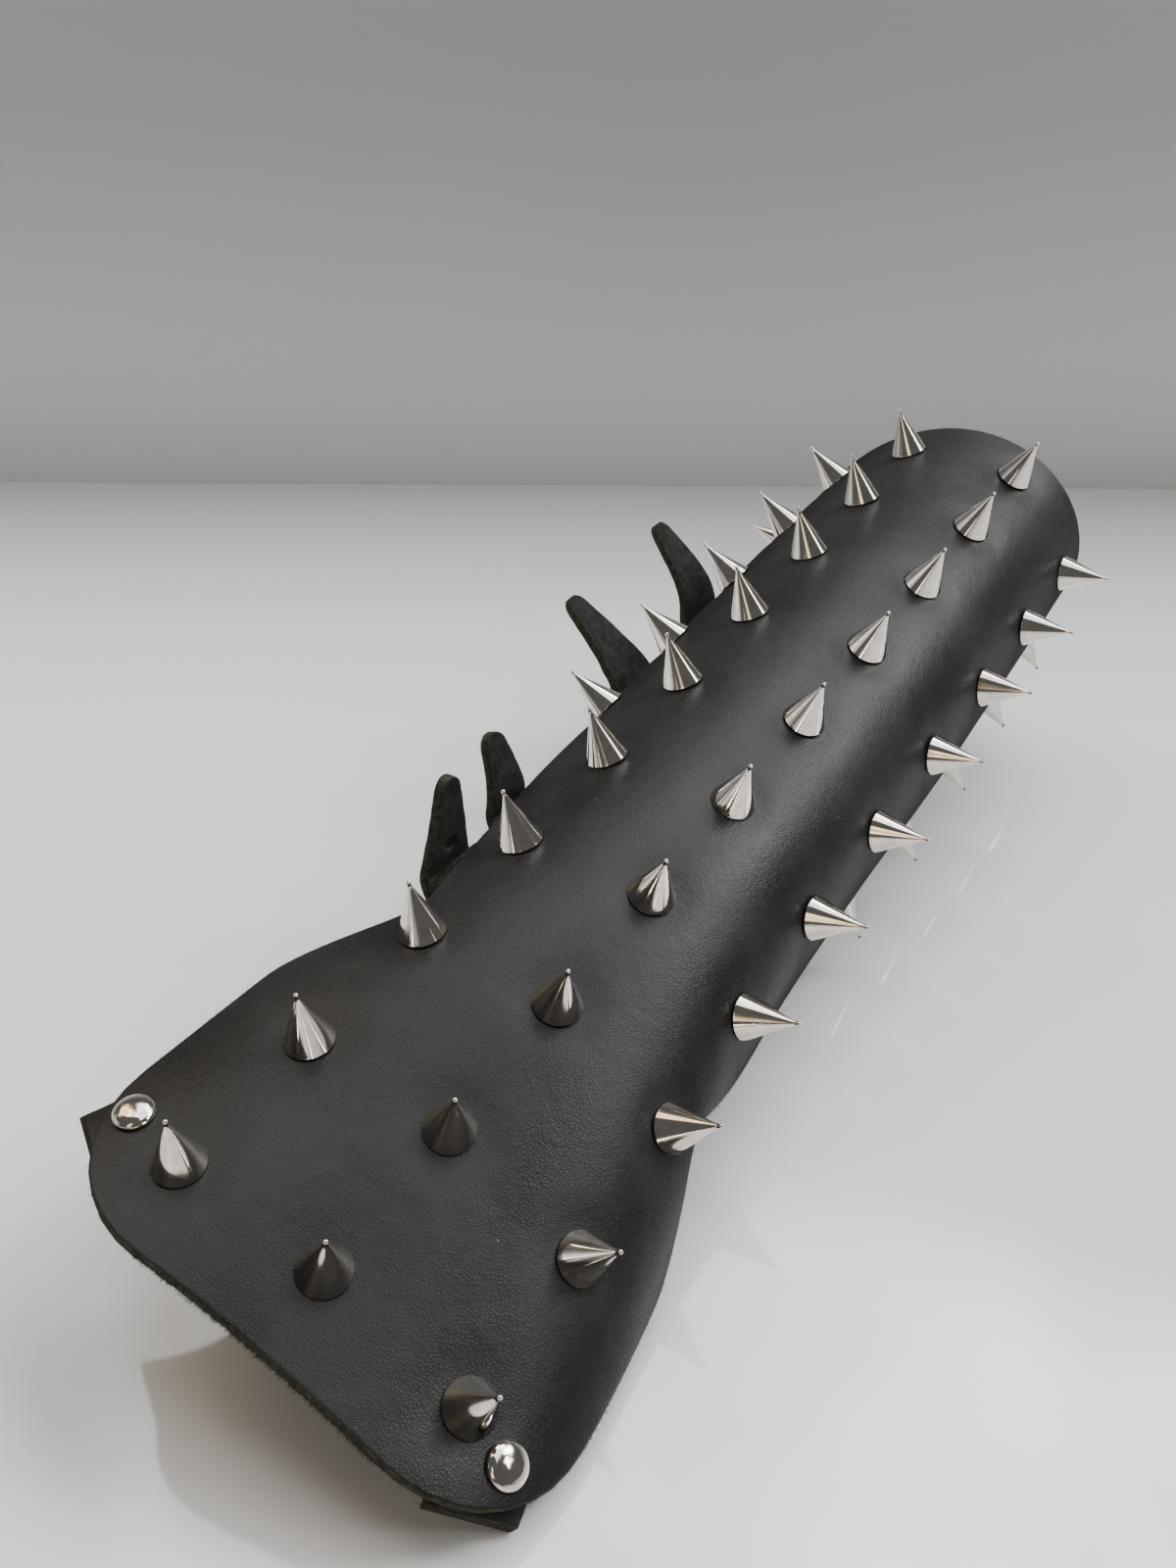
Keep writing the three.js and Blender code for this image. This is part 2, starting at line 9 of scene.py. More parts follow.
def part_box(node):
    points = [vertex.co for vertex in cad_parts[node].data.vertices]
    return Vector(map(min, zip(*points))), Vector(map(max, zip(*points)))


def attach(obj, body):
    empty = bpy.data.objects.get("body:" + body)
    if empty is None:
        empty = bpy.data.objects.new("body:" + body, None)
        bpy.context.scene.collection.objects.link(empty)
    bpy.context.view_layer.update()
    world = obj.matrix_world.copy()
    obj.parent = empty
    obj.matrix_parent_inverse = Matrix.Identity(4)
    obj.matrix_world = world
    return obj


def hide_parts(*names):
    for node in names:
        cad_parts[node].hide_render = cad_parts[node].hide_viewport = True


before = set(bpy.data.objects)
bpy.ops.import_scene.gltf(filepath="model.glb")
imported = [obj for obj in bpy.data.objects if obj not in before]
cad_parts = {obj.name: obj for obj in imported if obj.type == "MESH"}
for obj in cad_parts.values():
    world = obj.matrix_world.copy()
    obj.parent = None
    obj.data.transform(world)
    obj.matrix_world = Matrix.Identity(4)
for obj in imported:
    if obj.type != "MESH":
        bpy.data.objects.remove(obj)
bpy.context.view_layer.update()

# Studded arm guard. The leather is worked out in millimetres on the flat cut sheet (along, across)
# and then rolled; everything is turned into metres when a mesh is made.
mm = 0.001
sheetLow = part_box("guard_leather")[0]

sheetCut = {"length": 319, "thickness": 2.8, "flapWidth": 109, "flapLength": 58, "flapCorner": 28,
            "wristWidth": 78, "wristAt": 90, "elbowWidth": 215, "elbowCorner": 9}
sheetRoll = {"crownHeight": 87, "forearmRadius": 41.5, "underRadius": 62, "underFrom": 58, "bendSpan": 50,
             "flapLean": math.radians(17.8), "elbowLean": math.radians(26.2),
             "skew": (-0.69, -0.45), "spread": (1.12, 0.08)}
# along, height, bend and aside of the crown's line, as shares
crownLine = np.array([(0, 0.352, 0.225, 0.11), (0.11, 0.428, 0.355, 0.085), (0.23, 0.527, 0.566, 0.06),
                      (0.36, 0.625, 0.865, 0.036), (0.52, 0.731, 0.976, 0.012), (0.74, 0.859, 1.02, -0.013),
                      (1, 0.996, 1.136, -0.029)])


def smoothStep(value, low, high):
    t = np.clip((value - low) / (high - low), 0, 1)
    return t * t * (3 - 2 * t)


def crownValue(column, share):
    places, values = crownLine[:, 0], crownLine[:, column]
    row = np.clip(np.searchsorted(places, share) - 1, 0, len(places) - 2)
    order = np.arange(len(places))
    before, after = np.maximum(order - 1, 0), np.minimum(order + 1, len(places) - 1)
    slope = (values[after] - values[before]) / (places[after] - places[before])
    span = places[row + 1] - places[row]
    t = (share - places[row]) / span
    return ((2 * t**3 - 3 * t**2 + 1) * values[row] + (t**3 - 2 * t**2 + t) * span * slope[row]
            + (3 * t**2 - 2 * t**3) * values[row + 1] + (t**3 - t**2) * span * slope[row + 1])


def outerPoints(along, across):
    along, across = np.broadcast_arrays(np.asarray(along, float), np.asarray(across, float))
    share = along / sheetCut["length"]
    roll = sheetRoll
    skew = roll["skew"][0] + (roll["skew"][1] - roll["skew"][0]) * share
    spread = roll["spread"][0] + (roll["spread"][1] - roll["spread"][0]) * share
    crownBend = crownValue(2, share) / roll["forearmRadius"]
    y = crownValue(3, share) * sheetCut["flapWidth"]
    z = crownValue(1, share) * roll["crownHeight"]
    turn = -(roll["flapLean"] + (roll["elbowLean"] - roll["flapLean"]) * share)
    steps = 120
    stride = across / steps
    for step in range(steps):
        middle = (step + 0.5) * stride
        u = np.minimum(middle, roll["underFrom"]) / roll["bendSpan"]
        bend = np.where(middle < -roll["underFrom"], 1 / roll["underRadius"],
                        crownBend * (1 + skew * u + spread * u * u))
        half = turn + bend * stride / 2
        y = y + np.cos(half) * stride
        z = z - np.sin(half) * stride
        turn = turn + bend * stride
    return np.stack([along, y, z], axis=-1)


def unit(vectors):
    return vectors / np.linalg.norm(vectors, axis=-1, keepdims=True)


def sheetFrame(along, across):
    along, across = np.broadcast_arrays(np.asarray(along, float), np.asarray(across, float))
    on = unit(outerPoints(along + 1, across) - outerPoints(along - 1, across))
    over = unit(outerPoints(along, across + 1) - outerPoints(along, across - 1))
    out = unit(np.cross(on, over))
    return on, np.cross(out, on), out


def insidePoints(along, across, depth):
    return outerPoints(along, across) - sheetFrame(along, across)[2] * depth


def halfWidth(along, inset=0.0):
    cut = sheetCut
    along = np.asarray(along, float)
    corner, elbowStart = cut["flapCorner"], cut["length"] - cut["elbowCorner"]
    front = cut["flapWidth"] / 2 - corner + np.sqrt(np.maximum(0, (corner - inset)**2 - (corner - along)**2))
    taper = (cut["elbowWidth"] - cut["wristWidth"]) / 2 / (cut["length"] - cut["wristAt"])
    blend = smoothStep(along, cut["flapLength"], cut["wristAt"])
    waist = cut["flapWidth"] / 2 + (cut["wristWidth"] - cut["flapWidth"]) / 2 * blend - inset
    straight = cut["wristWidth"] / 2 + taper * (along - cut["wristAt"]) - inset
    elbow = (straight + inset - cut["elbowCorner"]
             + np.sqrt(np.maximum(0, (cut["elbowCorner"] - inset)**2 - (along - elbowStart)**2)))
    return np.where(along < corner, front, np.where(along < cut["wristAt"], waist,
                    np.where(along <= elbowStart, straight, elbow)))


# Where the pattern's zero lies in the row's frame
guardPlace = np.array([sheetLow.x / mm, sheetLow.y / mm, 0.0])
trialAlong, trialShare = np.meshgrid(np.linspace(0, sheetCut["length"], 120), np.linspace(-1, 1, 60), indexing="ij")
trial = outerPoints(trialAlong, trialShare * halfWidth(trialAlong))
guardPlace[1] -= trial[..., 1].min()


def toRow(points):
    return (np.asarray(points) + guardPlace) * mm


# Looks
looks = {
    # paintedCreaseShade is painted shade: a darker colour in the grain's creases
    "blackLeather": {"color": (0.016, 0.016, 0.0155), "paintedCreaseShade": (0.009, 0.009, 0.009), "worn": (0.020, 0.020, 0.0195),
                     "roughness": 0.34, "sheen": 0.215, "grazing": 0.4, "cell": 0.7, "grainDepth": 0.026,
                     "rippleDepth": 0.10, "dust": (0.28, 0.28, 0.27), "dustSpread": 9.0, "dustSize": 0.016},
    "cutEdge": {"color": (0.016, 0.017, 0.012), "light": (0.070, 0.075, 0.048), "roughness": 0.95},
    # a pale cut edge for the elbow end: painted highlight of light from behind
    "paintedHighlightEdge": {"color": (0.13, 0.14, 0.09), "light": (0.32, 0.34, 0.23), "roughness": 0.95},
    "fleshSide": {"color": (0.012, 0.0135, 0.0125), "light": (0.034, 0.038, 0.036), "roughness": 0.97},
    "nickel": {"color": (0.80, 0.755, 0.69), "dark": (0.66, 0.61, 0.545), "roughness": 0.075, "bumps": 0.0015},
}


def newGroup(name, inputs, outputs):
    # a shader group with a vector, some numbers in and some numbers out
    tree = bpy.data.node_groups.new(name, "ShaderNodeTree")
    tree.interface.new_socket("Vector", in_out="INPUT", socket_type="NodeSocketVector")
    for label, default in inputs:
        tree.interface.new_socket(label, in_out="INPUT", socket_type="NodeSocketFloat").default_value = default
    for label in outputs:
        tree.interface.new_socket(label, in_out="OUTPUT", socket_type="NodeSocketFloat")
    return tree, tree.nodes.new("NodeGroupInput"), tree.nodes.new("NodeGroupOutput")


def feed(tree, node, values):
    # links the sockets among the values and sets the rest
    for key, value in values.items():
        if isinstance(value, bpy.types.NodeSocket):
            tree.links.new(value, node.inputs[key])
        else:
            node.inputs[key].default_value = value
    return node


def addNode(tree, kind, values=None, **settings):
    node = tree.nodes.new(kind)
    for key, value in settings.items():
        setattr(node, key, value)
    return feed(tree, node, values or {})


def mathNode(tree, operation, *values):
    return addNode(tree, "ShaderNodeMath", dict(enumerate(values)), operation=operation).outputs[0]


def vectorNode(tree, operation, values):
    return addNode(tree, "ShaderNodeVectorMath", values, operation=operation).outputs[0]


def rangeNode(tree, value, low, high, toLow=0.0, toHigh=1.0):
    return addNode(tree, "ShaderNodeMapRange", {"Value": value, "From Min": low, "From Max": high,
                                                "To Min": toLow, "To Max": toHigh},
                   interpolation_type="SMOOTHSTEP").outputs[0]


def grainGroup():
    # pebbled grain with soft ripples; the vector comes in millimetres
    tree, start, end = newGroup("leatherGrain", (("Cell", 1.0),), ("Grain", "Ripple", "Patch"))
    place = start.outputs["Vector"]
    scaled = vectorNode(tree, "DIVIDE", {0: place, 1: start.outputs["Cell"]})
    warp = addNode(tree, "ShaderNodeTexNoise", {"Vector": scaled, "Scale": 0.9, "Detail": 2.0})
    bent = vectorNode(tree, "MULTIPLY_ADD", {0: warp.outputs["Color"], 1: (0.7, 0.7, 0.7), 2: scaled})
    cells = addNode(tree, "ShaderNodeTexVoronoi", {"Vector": bent, "Scale": 1.0, "Randomness": 1.0},
                    feature="DISTANCE_TO_EDGE")
    ripple = addNode(tree, "ShaderNodeTexNoise", {"Vector": place, "Scale": 0.24, "Detail": 3.0, "Roughness": 0.55})
    patch = addNode(tree, "ShaderNodeTexNoise", {"Vector": place, "Scale": 0.035, "Detail": 4.0, "Roughness": 0.6})
    feed(tree, end, {"Grain": rangeNode(tree, cells.outputs["Distance"], 0.0, 0.32), "Ripple": ripple.outputs["Fac"],
                     "Patch": patch.outputs["Fac"]})
    return tree


def fibreGroup():
    # matted fibres of the flesh side and of cut edges; the vector comes in millimetres
    tree, start, end = newGroup("leatherFibre", (("Length", 1.0),), ("Nap", "Shade"))
    scaled = vectorNode(tree, "DIVIDE", {0: start.outputs["Vector"], 1: start.outputs["Length"]})
    fine = addNode(tree, "ShaderNodeTexNoise", {"Vector": scaled, "Scale": 2.6, "Detail": 5.0, "Roughness": 0.7,
                                                "Distortion": 1.2})
    broad = addNode(tree, "ShaderNodeTexNoise", {"Vector": scaled, "Scale": 0.42, "Detail": 3.0, "Roughness": 0.6,
                                                 "Distortion": 0.6})
    shade = mathNode(tree, "ADD", mathNode(tree, "MULTIPLY", fine.outputs["Fac"], 0.45),
                     mathNode(tree, "MULTIPLY", broad.outputs["Fac"], 0.55))
    feed(tree, end, {"Nap": fine.outputs["Fac"], "Shade": rangeNode(tree, shade, 0.36, 0.66)})
    return tree


def dustGroup():
    # a few pale specks, in millimetres
    tree, start, end = newGroup("dustSpecks", (("Spread", 9.0), ("Size", 0.02)), ("Mask",))
    scaled = vectorNode(tree, "DIVIDE", {0: start.outputs["Vector"], 1: start.outputs["Spread"]})
    specks = addNode(tree, "ShaderNodeTexVoronoi", {"Vector": scaled, "Scale": 1.0}, feature="F1")
    chance = mathNode(tree, "GREATER_THAN", specks.outputs["Color"], 0.6)
    near = mathNode(tree, "LESS_THAN", specks.outputs["Distance"], start.outputs["Size"])
    feed(tree, end, {"Mask": mathNode(tree, "MULTIPLY", chance, near)})
    return tree


grainTree, fibreTree, dustTree = grainGroup(), fibreGroup(), dustGroup()


def newMaterial(name):
    material = bpy.data.materials.new(name)
    material.use_nodes = True
    return material, material.node_tree, material.node_tree.nodes["Principled BSDF"]


def millimetres(tree, uvName=None):
    if uvName:
        source = addNode(tree, "ShaderNodeUVMap", uv_map=uvName).outputs["UV"]
    else:
        source = addNode(tree, "ShaderNodeTexCoord").outputs["Object"]
    return vectorNode(tree, "SCALE", {0: source, "Scale": 1 / mm})


def mixColor(tree, factor, a, b):
    node = addNode(tree, "ShaderNodeMix", {"Factor": factor}, data_type="RGBA")
    for key, value in (("A", a), ("B", b)):
        socket = [s for s in node.inputs if s.name == key and s.type == "RGBA"][0]
        if isinstance(value, tuple):
            socket.default_value = (*value, 1)
        else:
            tree.links.new(value, socket)
    return [s for s in node.outputs if s.type == "RGBA"][0]


def bumpNode(tree, height, distance, strength=1.0, before=None):
    node = addNode(tree, "ShaderNodeBump", {"Height": height, "Distance": distance * mm, "Strength": strength})
    if before:
        feed(tree, node, {"Normal": before})
    return node.outputs["Normal"]


def blackLeatherMaterial():
    look = looks["blackLeather"]
    material, tree, shader = newMaterial("blackLeather")
    vector = millimetres(tree, "cutPlan")
    grain = addNode(tree, "ShaderNodeGroup", node_tree=grainTree)
    feed(tree, grain, {"Vector": vector, "Cell": look["cell"]})
    dust = addNode(tree, "ShaderNodeGroup", node_tree=dustTree)
    feed(tree, dust, {"Vector": vector, "Spread": look["dustSpread"], "Size": look["dustSize"]})
    # the creases between the grain's pebbles get a darker colour, painted shade in the creases
    shade = mixColor(tree, grain.outputs["Grain"], look["paintedCreaseShade"], look["color"])
    worn = mixColor(tree, rangeNode(tree, grain.outputs["Patch"], 0.35, 0.7), shade, look["worn"])
    satin = rangeNode(tree, grain.outputs["Patch"], 0.3, 0.7, look["roughness"] - 0.03, look["roughness"] + 0.05)
    # less gloss where the surface is seen edge on
    facing = addNode(tree, "ShaderNodeLayerWeight", {"Blend": 0.5}).outputs["Facing"]
    matt = rangeNode(tree, facing, 0.45, 0.95, 0.0, look["grazing"])
    ripple = bumpNode(tree, grain.outputs["Ripple"], look["rippleDepth"])
    feed(tree, shader, {"Base Color": mixColor(tree, dust.outputs["Mask"], worn, look["dust"]),
                        "Roughness": mathNode(tree, "ADD", satin, matt),
                        "Specular IOR Level": rangeNode(tree, facing, 0.5, 0.9, look["sheen"], look["sheen"] * 0.3),
                        "Normal": bumpNode(tree, grain.outputs["Grain"], look["grainDepth"], 0.8, ripple)})
    return material


def fibreMaterial(name, length, depth):
    look = looks[name]
    material, tree, shader = newMaterial(name)
    fibre = addNode(tree, "ShaderNodeGroup", node_tree=fibreTree)
    feed(tree, fibre, {"Vector": millimetres(tree), "Length": length})
    feed(tree, shader, {"Base Color": mixColor(tree, fibre.outputs["Shade"], look["color"], look["light"]),
                        "Normal": bumpNode(tree, fibre.outputs["Nap"], depth),
                        "Roughness": look["roughness"], "Specular IOR Level": 0.25})
    return material


def nickelMaterial():
    look = looks["nickel"]
    material, tree, shader = newMaterial("nickelPlate")
    vector = millimetres(tree)
    haze = addNode(tree, "ShaderNodeTexNoise", {"Vector": vector, "Scale": 0.35, "Detail": 4.0, "Roughness": 0.65})
    fine = addNode(tree, "ShaderNodeTexNoise", {"Vector": vector, "Scale": 6.0, "Detail": 3.0, "Roughness": 0.6})
    low, high = look["roughness"] - 0.02, look["roughness"] + 0.05
    stain = rangeNode(tree, haze.outputs["Fac"], 0.35, 0.7)
    feed(tree, shader, {"Base Color": mixColor(tree, stain, look["color"], look["dark"]),
                        "Roughness": rangeNode(tree, haze.outputs["Fac"], 0.3, 0.75, low, high),
                        "Normal": bumpNode(tree, fine.outputs["Fac"], look["bumps"]), "Metallic": 1.0})
    return material


blackLeather = blackLeatherMaterial()
cutEdge = fibreMaterial("cutEdge", 0.6, 0.25)
# pale edge material, a painted highlight
paintedHighlightEdge = fibreMaterial("paintedHighlightEdge", 0.6, 0.25)
fleshSide = fibreMaterial("fleshSide", 1.3, 0.22)
nickelPlate = nickelMaterial()
print("looks: leather, cut edge, flesh side and nickel made")


def meshPiece(name, points, faces, materials, slots=None, uvs=None):
    mesh = bpy.data.meshes.new(name)
    mesh.from_pydata([tuple(p) for p in toRow(points)], [], faces)
    for material in materials:
        mesh.materials.append(material)
    if slots is not None:
        mesh.polygons.foreach_set("material_index", slots)
    mesh.polygons.foreach_set("use_smooth", [True] * len(mesh.polygons))
    if uvs is not None:
        layer = mesh.uv_layers.new(name="cutPlan")
        corners = np.zeros(len(mesh.loops), int)
        mesh.loops.foreach_get("vertex_index", corners)
        layer.data.foreach_set("uv", (np.asarray(uvs)[corners] * mm).ravel())
    mesh.update()
    piece = bpy.data.objects.new(name, mesh)
    bpy.context.scene.collection.objects.link(piece)
    return piece


def finishPiece(piece, slot, *nodes):
    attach(piece, "root")
    if nodes:
        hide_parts(*nodes)
    return piece


# Spikes and rivets: where they stand on the sheet
studs = {"first": 16, "last": 15, "longRow": 10, "shortRow": 5, "sideRow": 0.301 * 109, "flankRow": 58.5,
         "underRow": 87, "baseRadius": 5.0, "height": 12.8, "sunk": 0.32, "sides": 48, "rings": 44,
         "rivetRadius": 4.0, "rivetHeight": 2.0, "rivetSunk": 0.05, "rivetSides": 64, "rivetRings": 40,
         "rivets": ((19.5, 0.434 * 109), (14.4, -0.398 * 109))}


def studPlaces():
    pitch = (sheetCut["length"] - studs["first"] - studs["last"]) / (studs["longRow"] - 1)
    rows = (("a", studs["sideRow"], studs["longRow"]), ("b", 0, studs["longRow"]),
            ("c", -studs["sideRow"], studs["longRow"]), ("d", studs["flankRow"], studs["shortRow"]),
            ("e", -studs["flankRow"], studs["shortRow"]), ("f", studs["underRow"], 1), ("g", -studs["underRow"], 1))
    return [(f"spike_{row}_{index:02d}", studs["first"] + pitch * (studs["longRow"] - index), across)
            for row, across, count in rows for index in range(1, count + 1)]


spikePlaces = studPlaces()


# The sheet of leather
sheetMesh = {"step": 1.55, "columns": 136, "cornerRows": 9, "edgeRound": 0.6, "dentDepth": 0.42, "dentFrom": 4.5,
             "dentWidth": 4.2, "waveDepth": 0.132, "insideShare": 0.7, "seed": 5}
# the rounded rim: distance past the last row, depth and unevenness
rimProfile = ((0.30, 0.05, 0), (0.50, 0.22, 0.03), (0.60, 0.60, 0.10), (0.62, 1.40, 0.12),
              (0.60, 2.20, 0.12), (0.50, 2.58, 0.10), (0.30, 2.76, 0.05))


def surfaceLift(along, across):
    # the screws pull the leather down a little round each spike, and it lies in faint waves
    lift = np.zeros(np.broadcast(along, across).shape)
    for _, spikeAlong, spikeAcross in spikePlaces:
        away = np.maximum(np.hypot(along - spikeAlong, across - spikeAcross) - sheetMesh["dentFrom"], 0)
        lift -= sheetMesh["dentDepth"] * np.exp(-(away / sheetMesh["dentWidth"])**2)
    wave = (np.sin(along / 17 + 0.7 * np.sin(across / 23)) * np.sin(across / 19 + 1.3)
            + 0.6 * np.sin(along / 9.5 + across / 31) * np.sin(across / 12 + 0.4))
    return lift + sheetMesh["waveDepth"] * wave


def buildSheet():
    cut, edgeRound, inside = sheetCut, sheetMesh["edgeRound"], sheetMesh["insideShare"]
    elbowStart = cut["length"] - cut["elbowCorner"]
    turn = np.linspace(0, math.pi / 2, sheetMesh["cornerRows"] + 1)
    front = cut["flapCorner"] - (cut["flapCorner"] - edgeRound) * np.cos(turn)
    back = elbowStart + (cut["elbowCorner"] - edgeRound) * np.sin(turn)
    middle = np.linspace(cut["flapCorner"], elbowStart, round((elbowStart - cut["flapCorner"]) / sheetMesh["step"]))
    alongs = np.concatenate([front, middle[1:-1], back])
    shares = np.linspace(-1, 1, sheetMesh["columns"] + 1)
    along = np.repeat(alongs[:, None], len(shares), axis=1)
    across = halfWidth(along, edgeRound) * shares[None, :]
    outer, out = outerPoints(along, across), sheetFrame(along, across)[2]
    lift = surfaceLift(along, across)[..., None]
    points = [(outer + out * lift).reshape(-1, 3), (outer + out * (lift * inside - cut["thickness"])).reshape(-1, 3)]
    uvs = [np.stack([along.ravel(), across.ravel()], axis=1)] * 2
    # the grain side, then the flesh side
    shift = along.size
    ids = np.arange(shift).reshape(along.shape)
    a, b, c, d = ids[:-1, :-1].ravel(), ids[1:, :-1].ravel(), ids[1:, 1:].ravel(), ids[:-1, 1:].ravel()
    faces = np.concatenate([np.stack([a, b, c, d], axis=1), np.stack([a, d, c, b], axis=1) + shift]).tolist()
    slots = [0] * len(a) + [2] * len(a)
    # the loop of the outline: one side, the elbow end, the other side and the front
    loop = np.concatenate([ids[:, 0], ids[-1, 1:], ids[::-1, -1][1:], ids[0, ::-1][1:-1]])
    flat = np.stack([along.ravel()[loop], across.ravel()[loop]], axis=1)
    ahead = np.roll(flat, -1, axis=0) - np.roll(flat, 1, axis=0)
    away = unit(np.stack([ahead[:, 1], -ahead[:, 0]], axis=1))
    if ((flat - np.array([flat[:, 0].mean(), 0])) * away).sum() < 0:
        away = -away
    loopOuter, loopOut = outer.reshape(-1, 3)[loop], out.reshape(-1, 3)[loop]
    rough = np.random.default_rng(sheetMesh["seed"]).normal(0, 1, (4, len(loop)))
    rough = (rough + np.roll(rough, 1, axis=1)) * 0.5
    rings, edgePoints = [loop], []
    for index, (reach, depth, wild) in enumerate(rimProfile):
        spot = flat + away * (reach + wild * rough[index % 4])[:, None]
        lift = surfaceLift(spot[:, 0], spot[:, 1])[:, None] * (1 - (1 - inside) * depth / cut["thickness"])
        ring = outerPoints(spot[:, 0], spot[:, 1]) + loopOut * (lift - depth)
        rings.append(np.arange(len(loop)) + 2 * shift + index * len(loop))
        points.append(ring)
        uvs.append(spot)
        if index in (1, 3, 5):
            edgePoints.append(ring)
    rings.append(loop + shift)
    for index, (upper, lower) in enumerate(zip(rings[:-1], rings[1:])):
        faces += np.stack([np.roll(upper, -1), upper, lower, np.roll(lower, -1)], axis=1).tolist()
        # the elbow end's upper edge gets a pale colour, a painted highlight of light from behind
        pale = (flat[:, 0] > elbowStart) & (index in (0, 1))
        slots += np.where(pale, 3, min(index, 1)).tolist()
    sheet = meshPiece("leather_sheet", np.vstack(points), faces, [blackLeather, cutEdge, fleshSide, paintedHighlightEdge], slots,
                      np.vstack(uvs))
    return sheet, edgePoints, unit(points[5] - loopOuter + loopOut * 1.4)


leatherSheet, sheetEdges, sheetAway = buildSheet()
check = bmesh.new()
check.from_mesh(leatherSheet.data)
print("sheet: volume", round(check.calc_volume(signed=True) * 1e6, 2), "cm3, faces", len(check.faces),
      "open edges", sum(1 for e in check.edges if not e.is_manifold))
check.free()
finishPiece(leatherSheet, "black_leather", "guard_leather")


# Geometry nodes: turned studs on a list of points
def newTree(name, inputs):
    tree = bpy.data.node_groups.new(name, "GeometryNodeTree")
    tree.interface.new_socket("Geometry", in_out="INPUT", socket_type="NodeSocketGeometry")
    for label, kind, default in inputs:
        tree.interface.new_socket(label, in_out="INPUT", socket_type="NodeSocket" + kind).default_value = default
    tree.interface.new_socket("Geometry", in_out="OUTPUT", socket_type="NodeSocketGeometry")
    return tree, tree.nodes.new("NodeGroupInput"), tree.nodes.new("NodeGroupOutput")


def facingNode(tree):
    return addNode(tree, "GeometryNodeInputNamedAttribute", {"Name": "facing"}, data_type="FLOAT_VECTOR").outputs[0]


def finishTree(tree, start, end, values, material, smooth=False):
    # an instance on every point, made real and given its material
    points = addNode(tree, "GeometryNodeMeshToPoints", {0: start.outputs["Geometry"]}).outputs[0]
    place = addNode(tree, "GeometryNodeInstanceOnPoints", {"Points": points, **values})
    grown = addNode(tree, "GeometryNodeRealizeInstances", {0: place.outputs[0]}).outputs[0]
    if smooth:
        grown = addNode(tree, "GeometryNodeSetShadeSmooth", {"Geometry": grown}).outputs[0]
    dress = addNode(tree, "GeometryNodeSetMaterial", {"Geometry": grown, "Material": material})
    feed(tree, end, {0: dress.outputs[0]})
    return tree


def studTree(name, profile, material):
    # a lathe: the grid's length is the profile from the middle of the base to the tip
    tree, start, end = newTree(name, (("Radius", "Float", 5 * mm), ("Height", "Float", 13 * mm),
                                      ("Sides", "Int", 48), ("Rings", "Int", 40), ("Seed", "Int", 3)))
    grid = addNode(tree, "GeometryNodeMeshGrid", {"Size X": 1.0, "Size Y": 1.0, "Vertices Y": start.outputs["Rings"],
                                                  "Vertices X": mathNode(tree, "ADD", start.outputs["Sides"], 1)})
    split = addNode(tree, "ShaderNodeSeparateXYZ", {0: addNode(tree, "GeometryNodeInputPosition").outputs[0]})
    angle = mathNode(tree, "MULTIPLY", mathNode(tree, "ADD", split.outputs["X"], 0.5), 2 * math.pi)
    travel = mathNode(tree, "ADD", split.outputs["Y"], 0.5)
    values = []
    for column, size in ((0, "Radius"), (1, "Height")):
        curve = addNode(tree, "ShaderNodeFloatCurve", {"Value": travel})
        points = curve.mapping.curves[0].points
        spots = [(index / (len(profile) - 1), spot[column]) for index, spot in enumerate(profile)]
        points[0].location, points[1].location = spots[0], spots[-1]
        for spot in spots[1:-1]:
            points.new(*spot)
        for point in points:
            point.handle_type = "VECTOR"
        curve.mapping.update()
        values.append(mathNode(tree, "MULTIPLY", curve.outputs[0], start.outputs[size]))
    radius, height = values
    x, y = (mathNode(tree, "MULTIPLY", mathNode(tree, wave, angle), radius) for wave in ("COSINE", "SINE"))
    joined = addNode(tree, "ShaderNodeCombineXYZ", {0: x, 1: y, 2: height})
    turned = addNode(tree, "GeometryNodeSetPosition", {"Geometry": grid.outputs["Mesh"], "Position": joined.outputs[0]})
    closed = addNode(tree, "GeometryNodeMergeByDistance", {"Geometry": turned.outputs[0], "Distance": 2e-6})
    align = addNode(tree, "FunctionNodeAlignRotationToVector", {"Vector": facingNode(tree)}, axis="Z")
    spin = addNode(tree, "FunctionNodeRandomValue", {3: 2 * math.pi, "Seed": start.outputs["Seed"]}, data_type="FLOAT")
    about = addNode(tree, "FunctionNodeAxisAngleToRotation", {"Angle": spin.outputs[1]})
    turn = addNode(tree, "FunctionNodeRotateRotation", {0: align.outputs[0], 1: about.outputs[0]},
                   rotation_space="LOCAL")
    return finishTree(tree, start, end, {"Instance": closed.outputs[0], "Rotation": turn.outputs[0]}, material, True)


def growPiece(name, points, facing, tree, values):
    # runs the tree on a cloud of points and keeps the result as a plain mesh
    mesh = bpy.data.meshes.new(name + "_points")
    mesh.from_pydata([tuple(p) for p in toRow(points)], [], [])
    attribute = mesh.attributes.new("facing", "FLOAT_VECTOR", "POINT")
    attribute.data.foreach_set("vector", np.asarray(facing, float).ravel())
    cloud = bpy.data.objects.new(name + "_points", mesh)
    bpy.context.scene.collection.objects.link(cloud)
    modifier = cloud.modifiers.new("grow", "NODES")
    modifier.node_group = tree
    for item in tree.interface.items_tree:
        if item.in_out == "INPUT" and item.name in values:
            modifier[item.identifier] = values[item.name]
    bpy.context.view_layer.update()
    grown = bpy.data.meshes.new_from_object(cloud.evaluated_get(bpy.context.evaluated_depsgraph_get()))
    cloud.modifiers.remove(modifier)
    bpy.data.objects.remove(cloud)
    grown.name = name
    piece = bpy.data.objects.new(name, grown)
    bpy.context.scene.collection.objects.link(piece)
    return piece


